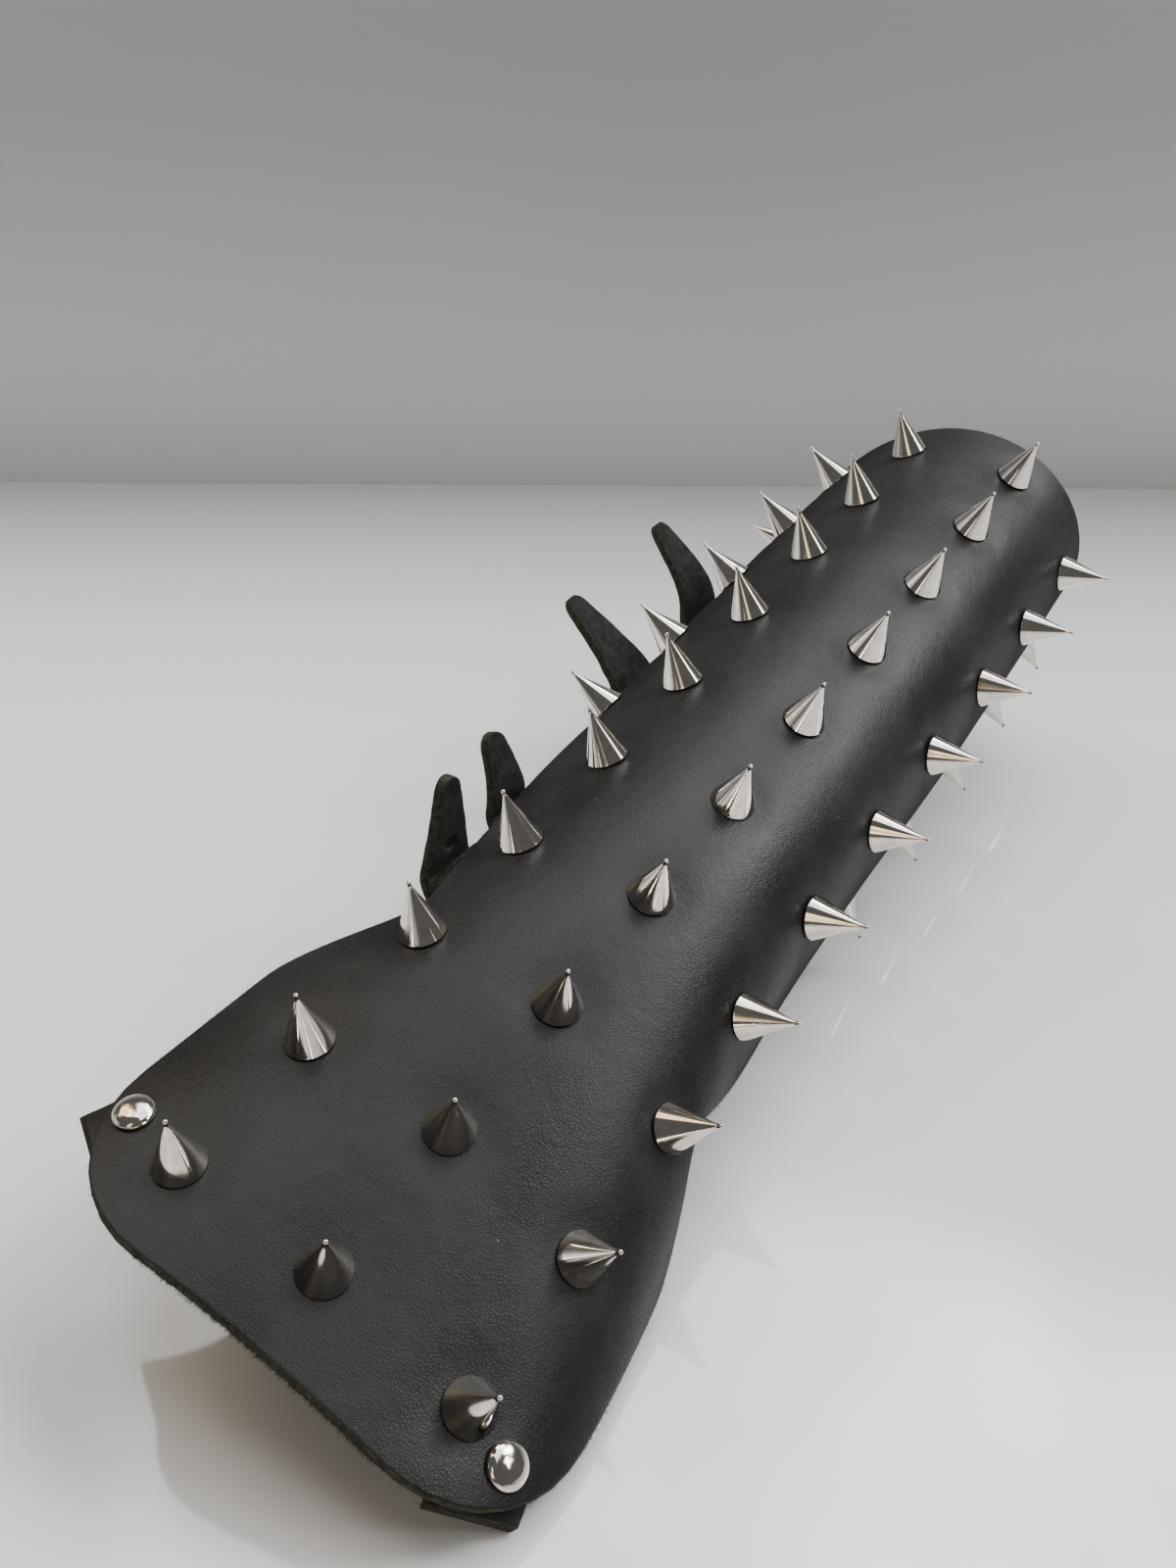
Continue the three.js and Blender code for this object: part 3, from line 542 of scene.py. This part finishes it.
# radius and height along the profile, as shares
spikeProfile = ((0, 0), (0.93, 0), (0.99, 0.006), (1.0, 0.022), (0.985, 0.034), (0.80, 0.205), (0.60, 0.392),
                (0.40, 0.58), (0.22, 0.755), (0.12, 0.858), (0.09, 0.898), (0.085, 0.922), (0.094, 0.944),
                (0.098, 0.962), (0.086, 0.983), (0.05, 0.997), (0, 1.0))
rivetProfile = ((0, 0), (0.97, 0), (1.0, 0.10), (1.0, 0.24), (0.965, 0.42), (0.87, 0.62), (0.72, 0.79), (0.52, 0.92),
                (0.3, 0.98), (0.14, 0.998), (0, 1.0))


def growStuds(name, spots, sunk, tree, values):
    along, across = np.array(spots, float).T
    out = sheetFrame(along, across)[2]
    return growPiece(name, outerPoints(along, across) - out * sunk, out, tree, values)


spikes = growStuds("cone_spikes", [place[1:] for place in spikePlaces], studs["sunk"],
                   studTree("coneSpikes", spikeProfile, nickelPlate),
                   {"Radius": studs["baseRadius"] * mm, "Height": (studs["height"] + studs["sunk"]) * mm,
                    "Sides": studs["sides"], "Rings": studs["rings"]})
print("spikes:", len(spikePlaces), "with", len(spikes.data.polygons), "faces")
finishPiece(spikes, "nickel", *[place[0] for place in spikePlaces])

rivets = growStuds("domed_rivets", studs["rivets"], studs["rivetSunk"],
                   studTree("domedRivets", rivetProfile, nickelPlate),
                   {"Radius": studs["rivetRadius"] * mm, "Height": studs["rivetHeight"] * mm,
                    "Sides": studs["rivetSides"], "Rings": studs["rivetRings"]})
print("rivets:", len(rivets.data.polygons), "faces")
finishPiece(rivets, "nickel", "rivet_left", "rivet_right")


# Straps
strapLook = {"width": 18, "thickness": 2.6, "tipWidth": 6, "taper": 28, "overlap": 13, "bend": 17, "tabDrop": 7,
             "seatGap": 0.8, "edgeRound": 0.45, "step": 1.1, "edgeWander": 0.16, "strapSeed": 20, "tabSeed": 40,
             "punchRadius": 1.9, "punchFromTip": 17, "punchDepth": 9}
buckleLook = {"bar": 3, "opening": 13, "sideClearance": 1.2, "prongRadius": 0.95, "prongPast": 1.2,
              "cornerRadius": 2.2}
# name, place along, hang, rise, reach, lean, drift, past a spike, punched
strapRows = (("1", 0.803, 4, 0.75, 0.8, 42, -2.5, False, False),
             ("2", 0.677, 4, 0.22, 0.99, 48, -2.7, False, False),
             ("3", 0.4514, 8, 0.18, 0.48, 18, -1, True, False),
             ("4", 0.3605, 8, 0.3, 0.46, 0, 1, True, True))
upright = np.array([0.0, 0.0, 1.0])
acrossArm = np.array([1.0, 0.0, 0.0])
sideways = np.array([0.0, 1.0, 0.0])


def seatedStation(along, across, way, half, clearance):
    depth = sheetCut["thickness"] + clearance + strapLook["thickness"] / 2
    ends = [insidePoints(along + side * way[0], across + side * way[1], depth) for side in (-half, half)]
    return (ends[0] + ends[1]) / 2, unit(ends[1] - ends[0])


def bezier(start, startWay, end, endWay, pull, count):
    t = np.linspace(0, 1, count + 1)[1:, None]
    one, two = start + startWay * pull, end - endWay * pull
    return (1 - t)**3 * start + 3 * (1 - t)**2 * t * one + 3 * (1 - t) * t**2 * two + t**3 * end


def tipHalfWidth(fromTip):
    round_ = strapLook["tipWidth"] / 2
    tapered = round_ + (strapLook["width"] / 2 - round_) * np.minimum(1, fromTip / strapLook["taper"])
    t = np.minimum(1, (fromTip + round_ * 0.06) / round_)
    return tapered * np.sqrt(1 - (1 - t)**2)


def strapLayout(row):
    share, hang, pastSpike = row[1], row[2], row[7]
    along = share * sheetCut["length"]
    half = float(halfWidth(along))
    seat = half - studs["sideRow"] + strapLook["width"] / 3 if pastSpike else strapLook["overlap"]
    hang = math.radians(hang)
    down = np.array([0, math.sin(hang), -math.cos(hang)])
    outward = np.array([0, math.cos(hang), math.sin(hang)])
    around = buckleLook["bar"] * math.sqrt(0.5) + 0.3 + strapLook["thickness"] / 2
    edge = seatedStation(along, half, (1, 0), strapLook["width"] / 2, strapLook["seatGap"])[0]
    over = sheetFrame(along, half)[1]
    upperBar = edge + over * strapLook["thickness"] + down * strapLook["tabDrop"] + outward * around
    lowerBar = upperBar + down * (buckleLook["opening"] + buckleLook["bar"])
    return {"along": along, "half": half, "seat": seat, "down": down, "outward": outward, "around": around,
            "upperBar": upperBar, "lowerBar": lowerBar}


def seatedRun(along, start, end, count=14):
    # under the sheet from one place across to its edge, and the way out of it there
    half, clearance = strapLook["width"] / 2, strapLook["seatGap"]
    spots = [seatedStation(along, start + (end - start) * t, (1, 0), half, clearance * (1 + t))
             for t in np.linspace(0, 1, count)]
    away = sheetFrame(along, end)[1] * math.copysign(1, end)
    away[0] = 0
    return np.array([s[0] for s in spots]), np.array([s[1] for s in spots]), unit(away)


def bandWays(points, ways, begin, span):
    # the way across the band: as seated first, then straight along the arm
    blend = smoothStep(measured(points), begin, begin + span)[:, None]
    edges = np.vstack([ways, np.repeat(ways[-1:], len(points) - len(ways), axis=0)])
    return unit(edges * (1 - blend) + acrossArm * blend)


def evenHalfWidth(fromTip):
    return np.full(np.shape(fromTip), strapLook["width"] / 2)


def measured(points):
    return np.concatenate([[0], np.cumsum(np.linalg.norm(np.diff(points, axis=0), axis=1))])


def strapPath(row):
    place = strapLayout(row)
    rise, reach, lean, drift = row[3:7]
    down, outward, around, half = place["down"], place["outward"], place["around"], place["half"]
    seated, ways, away = seatedRun(place["along"], -half + place["seat"], -half)
    edge = seated[-1]
    inner = place["lowerBar"] - outward * around
    outer = place["upperBar"] + outward * (around + strapLook["thickness"] + strapLook["seatGap"])
    rest = strapLook["thickness"] / 2
    landing = np.array([place["along"], edge[1] + strapLook["bend"], rest])
    takeOff = np.array([place["along"], inner[1] - strapLook["bend"] * 0.8, rest])
    parts = [seated, bezier(edge, away, landing, sideways, strapLook["bend"] * 0.55, 30), [takeOff],
             bezier(takeOff, sideways, inner, -down, strapLook["bend"] * 0.5, 30),
             bezier(inner, -down, outer, -down, buckleLook["opening"] * 0.4, 24)]
    angle = math.radians(lean)
    free = np.array([0, math.sin(angle), math.cos(angle)])
    knee = outer - down * rise * strapLook["taper"]
    tip = knee + free * reach * strapLook["taper"] + acrossArm * drift
    parts.append(bezier(outer, -down, tip, free, rise * strapLook["taper"], 40))
    points = np.vstack(parts)
    return points, bandWays(points, ways, place["seat"], strapLook["bend"]), tipHalfWidth


def tabPath(row):
    place = strapLayout(row)
    down, outward, around, half = place["down"], place["outward"], place["around"], place["half"]
    seated, ways, away = seatedRun(place["along"], half - place["seat"], half)
    inner = place["upperBar"] - outward * around
    angles = np.linspace(0, math.pi, 25)[1:, None]
    wrap = place["upperBar"] - outward * around * np.cos(angles) + down * around * np.sin(angles)
    points = np.vstack([seated, bezier(seated[-1], away, inner, down, strapLook["tabDrop"] * 0.45, 16), wrap])
    return points, bandWays(points, ways, measured(seated)[-1], strapLook["tabDrop"]), evenHalfWidth


def along3(spots, travelled, points):
    return np.stack([np.interp(spots, travelled, points[:, k]) for k in range(3)], axis=1)


def bandPiece(name, points, ways, halfAt, fleshOut=False, seed=1):
    # a strip of leather with rounded, slightly uneven edges; the grain side is on the side of along x across
    travelled = measured(points)
    length = travelled[-1]
    spots = np.linspace(0, length, max(8, round(length / strapLook["step"])))
    pointed = halfAt is tipHalfWidth
    spots = np.concatenate([spots[spots < length - 0.7],
                            length - np.array([0.5, 0.25, 0.1, 0.0] if pointed else [0.0])])
    centre = along3(spots, travelled, points)
    across = unit(along3(spots, travelled, ways))
    face = unit(np.cross(unit(np.gradient(centre, axis=0)), across))
    half = halfAt(length - spots)
    wander = np.random.default_rng(seed).normal(0, 1, (2, len(spots)))
    wander = (wander + np.roll(wander, 1, axis=1) + np.roll(wander, 2, axis=1)) / 3 * strapLook["edgeWander"]
    thick, bevel = strapLook["thickness"] / 2, strapLook["edgeRound"]
    # kind, side, distance in from the edge and height; the second half is the first one turned over
    shape = [("side", -1, 0.0, bevel - thick), ("side", -1, 0.0, 0.0), ("side", -1, 0.0, thick - bevel),
             ("side", -1, bevel * 0.3, thick - bevel * 0.3), ("top", -1, bevel, thick),
             ("mid", -0.5, 0, thick), ("mid", 0, 0, thick), ("mid", 0.5, 0, thick),
             ("top", 1, bevel, thick), ("side", 1, bevel * 0.3, thick - bevel * 0.3)]
    shape += [(kind, -side, inset, -up) for kind, side, inset, up in shape]
    verts, uvs = [], []
    for kind, side, inset, up in shape:
        if kind == "mid":
            place = side * half
        else:
            uneven = wander[0 if side < 0 else 1] * (1 if kind == "side" else 0.6)
            place = side * np.maximum(0.2, half - inset) + uneven
        verts.append(centre + across * place[:, None] + face * up)
        uvs.append(np.stack([spots, place], axis=1))
    verts, uvs = np.array(verts), np.array(uvs)
    sides, total = verts.shape[:2]
    faces, slots = [], []
    grain, flesh = (2, 0) if fleshOut else (0, 2)
    for k in range(sides):
        j = (k + 1) % sides
        faces += [(k * total + i, k * total + i + 1, j * total + i + 1, j * total + i) for i in range(total - 1)]
        slots += [grain if 4 <= k <= 7 else flesh if 14 <= k <= 17 else 1] * (total - 1)
    faces.append(tuple(k * total for k in range(sides)))
    faces.append(tuple(k * total + total - 1 for k in range(sides - 1, -1, -1)))
    slots += [1, 1]
    piece = meshPiece(name, verts.reshape(-1, 3), faces, [blackLeather, cutEdge, fleshSide], slots,
                      uvs.reshape(-1, 2))
    solid = bmesh.new()
    solid.from_mesh(piece.data)
    if solid.calc_volume(signed=True) < 0:
        bmesh.ops.reverse_faces(solid, faces=solid.faces)
    solid.to_mesh(piece.data)
    solid.free()
    return piece, np.concatenate([verts[1], verts[11]]), np.concatenate([-across, across])


def cutHole(piece, centre, axis, radius, depth, material):
    # a round punched hole
    tool = bpy.data.meshes.new("punch")
    shape = bmesh.new()
    bmesh.ops.create_cone(shape, cap_ends=True, segments=40, radius1=radius * mm, radius2=radius * mm,
                          depth=depth * mm)
    turn = Vector(axis).to_track_quat("Z", "Y").to_matrix().to_4x4()
    shape.transform(Matrix.Translation(Vector(toRow(centre))) @ turn)
    shape.to_mesh(tool)
    shape.free()
    tool.materials.append(material)
    cutter = bpy.data.objects.new("punch", tool)
    bpy.context.scene.collection.objects.link(cutter)
    modifier = piece.modifiers.new("punch", "BOOLEAN")
    modifier.operation, modifier.solver, modifier.object = "DIFFERENCE", "EXACT", cutter
    modifier.material_mode = "TRANSFER"
    bpy.context.view_layer.update()
    cut = bpy.data.meshes.new_from_object(piece.evaluated_get(bpy.context.evaluated_depsgraph_get()))
    piece.modifiers.remove(modifier)
    cut.name = piece.data.name
    piece.data = cut
    bpy.data.objects.remove(cutter)


fuzzPoints, fuzzWays = [], []
for index, row in enumerate(strapRows):
    points, ways, halfAt = strapPath(row)
    strap, edges, aways = bandPiece("strap_" + row[0] + "_leather", points, ways, halfAt,
                                    seed=strapLook["strapSeed"] + index)
    if row[8]:
        travelled = measured(points)
        at = travelled[-1] - strapLook["punchFromTip"]
        centre, ahead = along3([at, at + 1], travelled, points)
        cutHole(strap, centre, np.cross(ahead - centre, acrossArm), strapLook["punchRadius"],
                strapLook["punchDepth"], cutEdge)
    finishPiece(strap, "strap_leather", "strap_" + row[0])
    fuzzPoints.append(edges)
    fuzzWays.append(aways)
    points, ways, halfAt = tabPath(row)
    tab = bandPiece("tab_" + row[0] + "_leather", points, ways, halfAt, True, strapLook["tabSeed"] + index)[0]
    finishPiece(tab, "strap_leather", "buckle_tab_" + row[0])
print("straps and tabs made")


# Buckles: a bent wire frame with its prong lying on the lower bar
def wire(name, points, radius, closed):
    curve = bpy.data.curves.new(name, "CURVE")
    curve.dimensions = "3D"
    curve.bevel_depth, curve.bevel_resolution = radius * mm, 6
    curve.use_fill_caps = True
    spline = curve.splines.new("POLY")
    spline.points.add(len(points) - 1)
    for spot, point in zip(spline.points, points):
        spot.co = (*[v * mm for v in point], 1)
    spline.use_cyclic_u = closed
    holder = bpy.data.objects.new(name, curve)
    bpy.context.scene.collection.objects.link(holder)
    bpy.context.view_layer.update()
    mesh = bpy.data.meshes.new_from_object(holder.evaluated_get(bpy.context.evaluated_depsgraph_get()))
    bpy.data.objects.remove(holder)
    return mesh


def buildBuckle(row):
    place = strapLayout(row)
    bar, spacing = buckleLook["bar"], buckleLook["opening"] + buckleLook["bar"]
    halfWide = strapLook["width"] / 2 + buckleLook["sideClearance"] + bar / 2
    corner = buckleLook["cornerRadius"]
    loop = []
    for cx, cz, begin in ((halfWide - corner, -corner, 0), (-halfWide + corner, -corner, 90),
                          (-halfWide + corner, -spacing + corner, 180), (halfWide - corner, -spacing + corner, 270)):
        for step in range(9):
            angle = math.radians(begin + step * 90 / 8)
            loop.append((cx + corner * math.cos(angle), 0, cz + corner * math.sin(angle)))
    ring = wire("ring", loop, bar / 2, True)
    lift = bar / 2 + buckleLook["prongRadius"]
    loopBack = [(0, lift * math.cos(math.radians(a)), lift * math.sin(math.radians(a))) for a in range(170, 19, -15)]
    reach = spacing + buckleLook["prongPast"]
    lying = [(0, lift * (0.94 + 0.06 * t), lift * 0.34 * (1 - t) - reach * t) for t in np.linspace(0, 1, 14)]
    prong = wire("prong", loopBack + lying, buckleLook["prongRadius"], False)
    joined = bmesh.new()
    for mesh in (ring, prong):
        joined.from_mesh(mesh)
    bmesh.ops.remove_doubles(joined, verts=joined.verts, dist=1e-6)
    basis = Matrix(np.array([acrossArm, place["outward"], -place["down"]]).T.tolist()).to_4x4()
    joined.transform(Matrix.Translation(Vector(toRow(place["upperBar"]))) @ basis)
    mesh = bpy.data.meshes.new("buckle_" + row[0] + "_nickel")
    joined.to_mesh(mesh)
    joined.free()
    mesh.materials.append(nickelPlate)
    mesh.polygons.foreach_set("use_smooth", [True] * len(mesh.polygons))
    mesh.polygons.foreach_set("material_index", [0] * len(mesh.polygons))
    piece = bpy.data.objects.new("buckle_" + row[0] + "_nickel", mesh)
    bpy.context.scene.collection.objects.link(piece)
    return piece


for row in strapRows:
    finishPiece(buildBuckle(row), "nickel", "buckle_" + row[0])
print("buckles made")


# The palm strap
palmLook = {"pastRivet": 9, "swing": math.radians(30), "reach": 46, "sag": 2, "endSag": 0.6,
            "leftUnder": 0.8, "rightUnder": 2.2}


def catmull(points, t):
    # smooth line through the points, with even pull between them
    points = np.asarray(points, float)
    spans = len(points) - 1
    whole = min(int(math.floor(spans * t)), spans - 1)
    weight = spans * t - whole
    p1, p2 = points[whole], points[whole + 1]
    p0 = points[whole - 1] if whole > 0 else 2 * points[0] - points[1]
    p3 = points[whole + 2] if whole + 2 <= spans else 2 * points[-1] - points[-2]
    d0, d1, d2 = (max(np.linalg.norm(b - a), 1e-4)**0.5 for a, b in ((p0, p1), (p1, p2), (p2, p3)))
    t1 = ((p1 - p0) / d0 - (p2 - p0) / (d0 + d1) + (p2 - p1) / d1) * d1
    t2 = ((p2 - p1) / d1 - (p3 - p1) / (d1 + d2) + (p3 - p2) / d2) * d1
    return (p1 + t1 * weight + (-3 * p1 + 3 * p2 - 2 * t1 - t2) * weight**2
            + (2 * p1 - 2 * p2 + t1 + t2) * weight**3)


def palmPath():
    standing = strapLook["width"] / 2
    past, swing, ends = palmLook["pastRivet"], palmLook["swing"], []
    for (along, across), side, under in zip(studs["rivets"], (1, -1), (palmLook["leftUnder"], palmLook["rightUnder"])):
        inward = (math.cos(swing), -side * math.sin(swing))
        outer = (math.sin(swing), side * math.cos(swing))
        ends.append([seatedStation(along + inward[0] * at, across + inward[1] * at, outer, standing, under + sag)
                     for at, sag in ((-past, palmLook["endSag"]), (0, 0), (past, palmLook["sag"]))])
    left, right = ends
    turn = (left[1][0] + right[1][0]) / 2 + acrossArm * palmLook["reach"]
    turn[2] = standing
    bends = [(end[0] * 0.4 + turn * 0.6 + end[1] * standing, end[1] - upright) for end in (left[2], right[2])]
    keys = [*left, bends[0], (turn, -upright), bends[1], *right[::-1]]
    centres, ways = [key[0] for key in keys], [unit(key[1]) for key in keys]
    dense = np.linspace(0, 1, 400)
    points = np.array([catmull(centres, t) for t in dense])
    across = unit(np.array([catmull(ways, t) for t in dense]))
    # no lower than the floor
    steep = np.abs(across[:, 2])
    lowest = standing * steep + strapLook["thickness"] / 2 * np.sqrt(np.maximum(0, 1 - steep**2))
    points[:, 2] = np.maximum(points[:, 2], lowest)
    return points, across, evenHalfWidth


points, ways, halfAt = palmPath()
palmStrap, edges, aways = bandPiece("palm_strap_leather", points, ways, halfAt, seed=77)
finishPiece(palmStrap, "strap_leather", "palm_strap")
fuzzPoints.append(edges)
fuzzWays.append(aways)
print("palm strap made")


# Geometry nodes: loose fibres along the cut edges
fuzzLook = {"length": 0.75, "radius": 0.035, "lengthSpread": 0.7, "tilt": 1.0, "seed": 11, "sheetStep": 4,
            "strapStep": 2, "strapSpread": 0.45, "clearOfFloor": 2.2}


def fuzzTree(material):
    inputs = (("Length", "Float", 0.5 * mm), ("Radius", "Float", 0.04 * mm), ("Length Spread", "Float", 0.6),
              ("Tilt", "Float", 0.8), ("Seed", "Int", 1))
    tree, start, end = newTree("edgeFibres", inputs)
    length, radius, spread, tilt, seed = (start.outputs[row[0]] for row in inputs)
    cone = addNode(tree, "GeometryNodeMeshCone", {"Vertices": 4, "Side Segments": 1, "Fill Segments": 1,
                                                  "Depth": length, "Radius Bottom": radius, "Radius Top": 0.0})
    lean = addNode(tree, "FunctionNodeRandomValue", {0: (-1, -1, -1), 1: (1, 1, 1), "Seed": seed},
                   data_type="FLOAT_VECTOR")
    swing = vectorNode(tree, "SCALE", {0: lean.outputs[0], "Scale": tilt})
    way = vectorNode(tree, "ADD", {0: facingNode(tree), 1: swing})
    align = addNode(tree, "FunctionNodeAlignRotationToVector", {"Vector": way}, axis="Z")
    size = addNode(tree, "FunctionNodeRandomValue", {2: mathNode(tree, "SUBTRACT", 1.0, spread),
                                                     3: mathNode(tree, "ADD", spread, 1.0),
                                                     "Seed": mathNode(tree, "ADD", seed, 5)}, data_type="FLOAT")
    return finishTree(tree, start, end, {"Instance": cone.outputs["Mesh"], "Rotation": align.outputs[0],
                                         "Scale": size.outputs[1]}, material)


def fuzzSpots():
    rng = np.random.default_rng(fuzzLook["seed"])
    spots, ways = [], []
    for ring in sheetEdges:
        for _ in range(fuzzLook["sheetStep"]):
            t = rng.random((len(ring), 1))
            spots.append(ring * (1 - t) + np.roll(ring, -1, axis=0) * t)
            ways.append(sheetAway)
    for edges, aways in zip(fuzzPoints, fuzzWays):
        for _ in range(fuzzLook["strapStep"]):
            spots.append(edges + rng.normal(0, fuzzLook["strapSpread"], edges.shape))
            ways.append(aways)
    spots, ways = np.vstack(spots), np.vstack(ways)
    clear = spots[:, 2] > fuzzLook["clearOfFloor"]
    return spots[clear], ways[clear]


spots, ways = fuzzSpots()
fuzz = growPiece("edge_fibres", spots, ways, fuzzTree(cutEdge),
                 {"Length": fuzzLook["length"] * mm, "Radius": fuzzLook["radius"] * mm,
                  "Length Spread": fuzzLook["lengthSpread"], "Tilt": fuzzLook["tilt"], "Seed": fuzzLook["seed"]})
print("fibres:", len(spots), "with", len(fuzz.data.polygons), "faces")
finishPiece(fuzz, "black_leather")


# Floor, wall, light and camera
# the wall's colour goes from near white at its foot to darker at its top: painted shade of the light falling off up the
# wall
studio = {"floorColor": (0.87, 0.875, 0.895), "wallLow": (0.91, 0.94, 1.0), "wallTop": (0.46, 0.475, 0.52),
          "floorRoughness": 0.07, "wallRoughness": 0.5, "wallAway": 0.617, "wallHeight": 0.25, "halfWidth": 2.5,
          "floorDepth": 4, "clouds": 1.5, "base": (0.115, 0.113, 0.11)}
# light of the room: heading, half width, elevation and half height in degrees, softness, colour, strength
roomPatches = ((-36, 21, 43, 10, 5, (1.0, 0.99, 0.97), 8.5), (2, 58, 56, 8, 3, (0.93, 0.96, 1.0), 4.6),
               (0, 112, 87, 24, 8, (0.95, 0.97, 1.0), 2.1), (88, 17, 50, 13, 5, (1.0, 0.76, 0.44), 2.4),
               (192, 9, 34, 18, 4, (1.0, 0.78, 0.5), 1.6), (-70, 6, 33, 6, 2, (1.0, 0.98, 0.94), 4.5),
               (122, 20, 14, 9, 5, (1.0, 0.98, 0.95), 0.8))
cameraLook = {"place": (-100.51, -112.98, 231.82), "yaw": 31.95, "pitch": 32.04, "roll": 0.34,
              "focalPixels": 1503.7, "photoHeight": 1600, "sensor": 36}

yaw, pitch, roll = (math.radians(cameraLook[key]) for key in ("yaw", "pitch", "roll"))
look = Vector((math.cos(yaw) * math.cos(pitch), math.sin(yaw) * math.cos(pitch), -math.sin(pitch)))
right = Vector((math.sin(yaw), -math.cos(yaw), 0))
up = right.cross(look)
tiltedRight = right * math.cos(roll) + up * math.sin(roll)
tiltedUp = up * math.cos(roll) - right * math.sin(roll)
cameraData = bpy.data.cameras.new("photo")
cameraData.lens = cameraLook["focalPixels"] / cameraLook["photoHeight"] * cameraLook["sensor"]
cameraData.sensor_width = cameraLook["sensor"]
cameraData.clip_start = 0.01
camera = bpy.data.objects.new("photo", cameraData)
bpy.context.scene.collection.objects.link(camera)
camera.matrix_world = (Matrix.Translation(Vector(toRow(cameraLook["place"])))
                       @ Matrix((tiltedRight, tiltedUp, -look)).transposed().to_4x4())
bpy.context.scene.camera = camera


def stageSheet(name, corners, low, high, roughness, frontOnly=False):
    mesh = bpy.data.meshes.new(name)
    mesh.from_pydata([tuple(corner) for corner in corners], [], [(0, 1, 2, 3)])
    material, tree, shader = newMaterial(name)
    place = addNode(tree, "ShaderNodeTexCoord").outputs["Object"]
    noise = addNode(tree, "ShaderNodeTexNoise", {"Vector": place, "Scale": 3.0, "Detail": 2.0})
    split = addNode(tree, "ShaderNodeSeparateXYZ", {0: place})
    # colour blends from low to high up the sheet; on the wall this is painted shade
    climb = mathNode(tree, "MULTIPLY_ADD", noise.outputs["Fac"], 0.02, split.outputs["Z"])
    feed(tree, shader, {"Base Color": mixColor(tree, rangeNode(tree, climb, 0.0, 0.2), low, high),
                        "Roughness": roughness, "Specular IOR Level": 0.8})
    if frontOnly:
        behind = addNode(tree, "ShaderNodeNewGeometry").outputs["Backfacing"]
        feed(tree, shader, {"Alpha": mathNode(tree, "SUBTRACT", 1.0, behind)})
    mesh.materials.append(material)
    sheet = bpy.data.objects.new(name, mesh)
    bpy.context.scene.collection.objects.link(sheet)


eye = Vector(toRow(cameraLook["place"]))
ahead = Vector((math.cos(yaw), math.sin(yaw), 0))
aside = Vector((math.sin(yaw), -math.cos(yaw), 0)) * studio["halfWidth"]
wallFoot = Vector((eye.x, eye.y, 0)) + ahead * studio["wallAway"]
near, wallTop = ahead * studio["floorDepth"], Vector((0, 0, studio["wallHeight"]))
stageSheet("floor", (wallFoot + aside, wallFoot - aside, wallFoot - aside - near, wallFoot + aside - near),
           studio["floorColor"], studio["floorColor"], studio["floorRoughness"])
# the wall is seen from its front only, so that a camera behind it looks through
# its colour darkens towards the top, painted shade
stageSheet("wall", (wallFoot + aside, wallFoot + aside + wallTop, wallFoot - aside + wallTop, wallFoot - aside),
           studio["wallLow"], studio["wallTop"], studio["wallRoughness"], True)


def roomWorld():
    world = bpy.data.worlds.new("room")
    bpy.context.scene.world = world
    world.use_nodes = True
    tree = world.node_tree
    way = addNode(tree, "ShaderNodeTexCoord").outputs["Generated"]
    split = addNode(tree, "ShaderNodeSeparateXYZ", {0: way})
    heading = mathNode(tree, "ARCTAN2", split.outputs["Y"], split.outputs["X"])
    elevation = mathNode(tree, "ARCSINE", split.outputs["Z"])
    puffs = addNode(tree, "ShaderNodeTexNoise", {"Vector": way, "Scale": 3.2, "Detail": 6.0, "Roughness": 0.62,
                                                 "Distortion": 0.3})
    cloud = rangeNode(tree, puffs.outputs["Fac"], 0.40, 0.66, 0.6, 1.0 + studio["clouds"])

    def within(angle, half, soft):
        size = mathNode(tree, "ABSOLUTE", angle)
        return rangeNode(tree, size, math.radians(half + soft), math.radians(half - soft))

    total = studio["base"]
    for centre, wide, middle, tall, soft, color, strength in roomPatches:
        turned = mathNode(tree, "WRAP", mathNode(tree, "SUBTRACT", heading, math.radians(centre)), math.pi, -math.pi)
        above = mathNode(tree, "SUBTRACT", elevation, math.radians(middle))
        inside = mathNode(tree, "MULTIPLY", within(turned, wide, soft), within(above, tall, soft))
        shine = mathNode(tree, "MULTIPLY", mathNode(tree, "MULTIPLY", inside, cloud), strength)
        total = vectorNode(tree, "ADD", {0: vectorNode(tree, "SCALE", {0: color, "Scale": shine}), 1: total})
    feed(tree, tree.nodes["Background"], {"Color": total, "Strength": 1.0})


roomWorld()
print("studio and camera set")
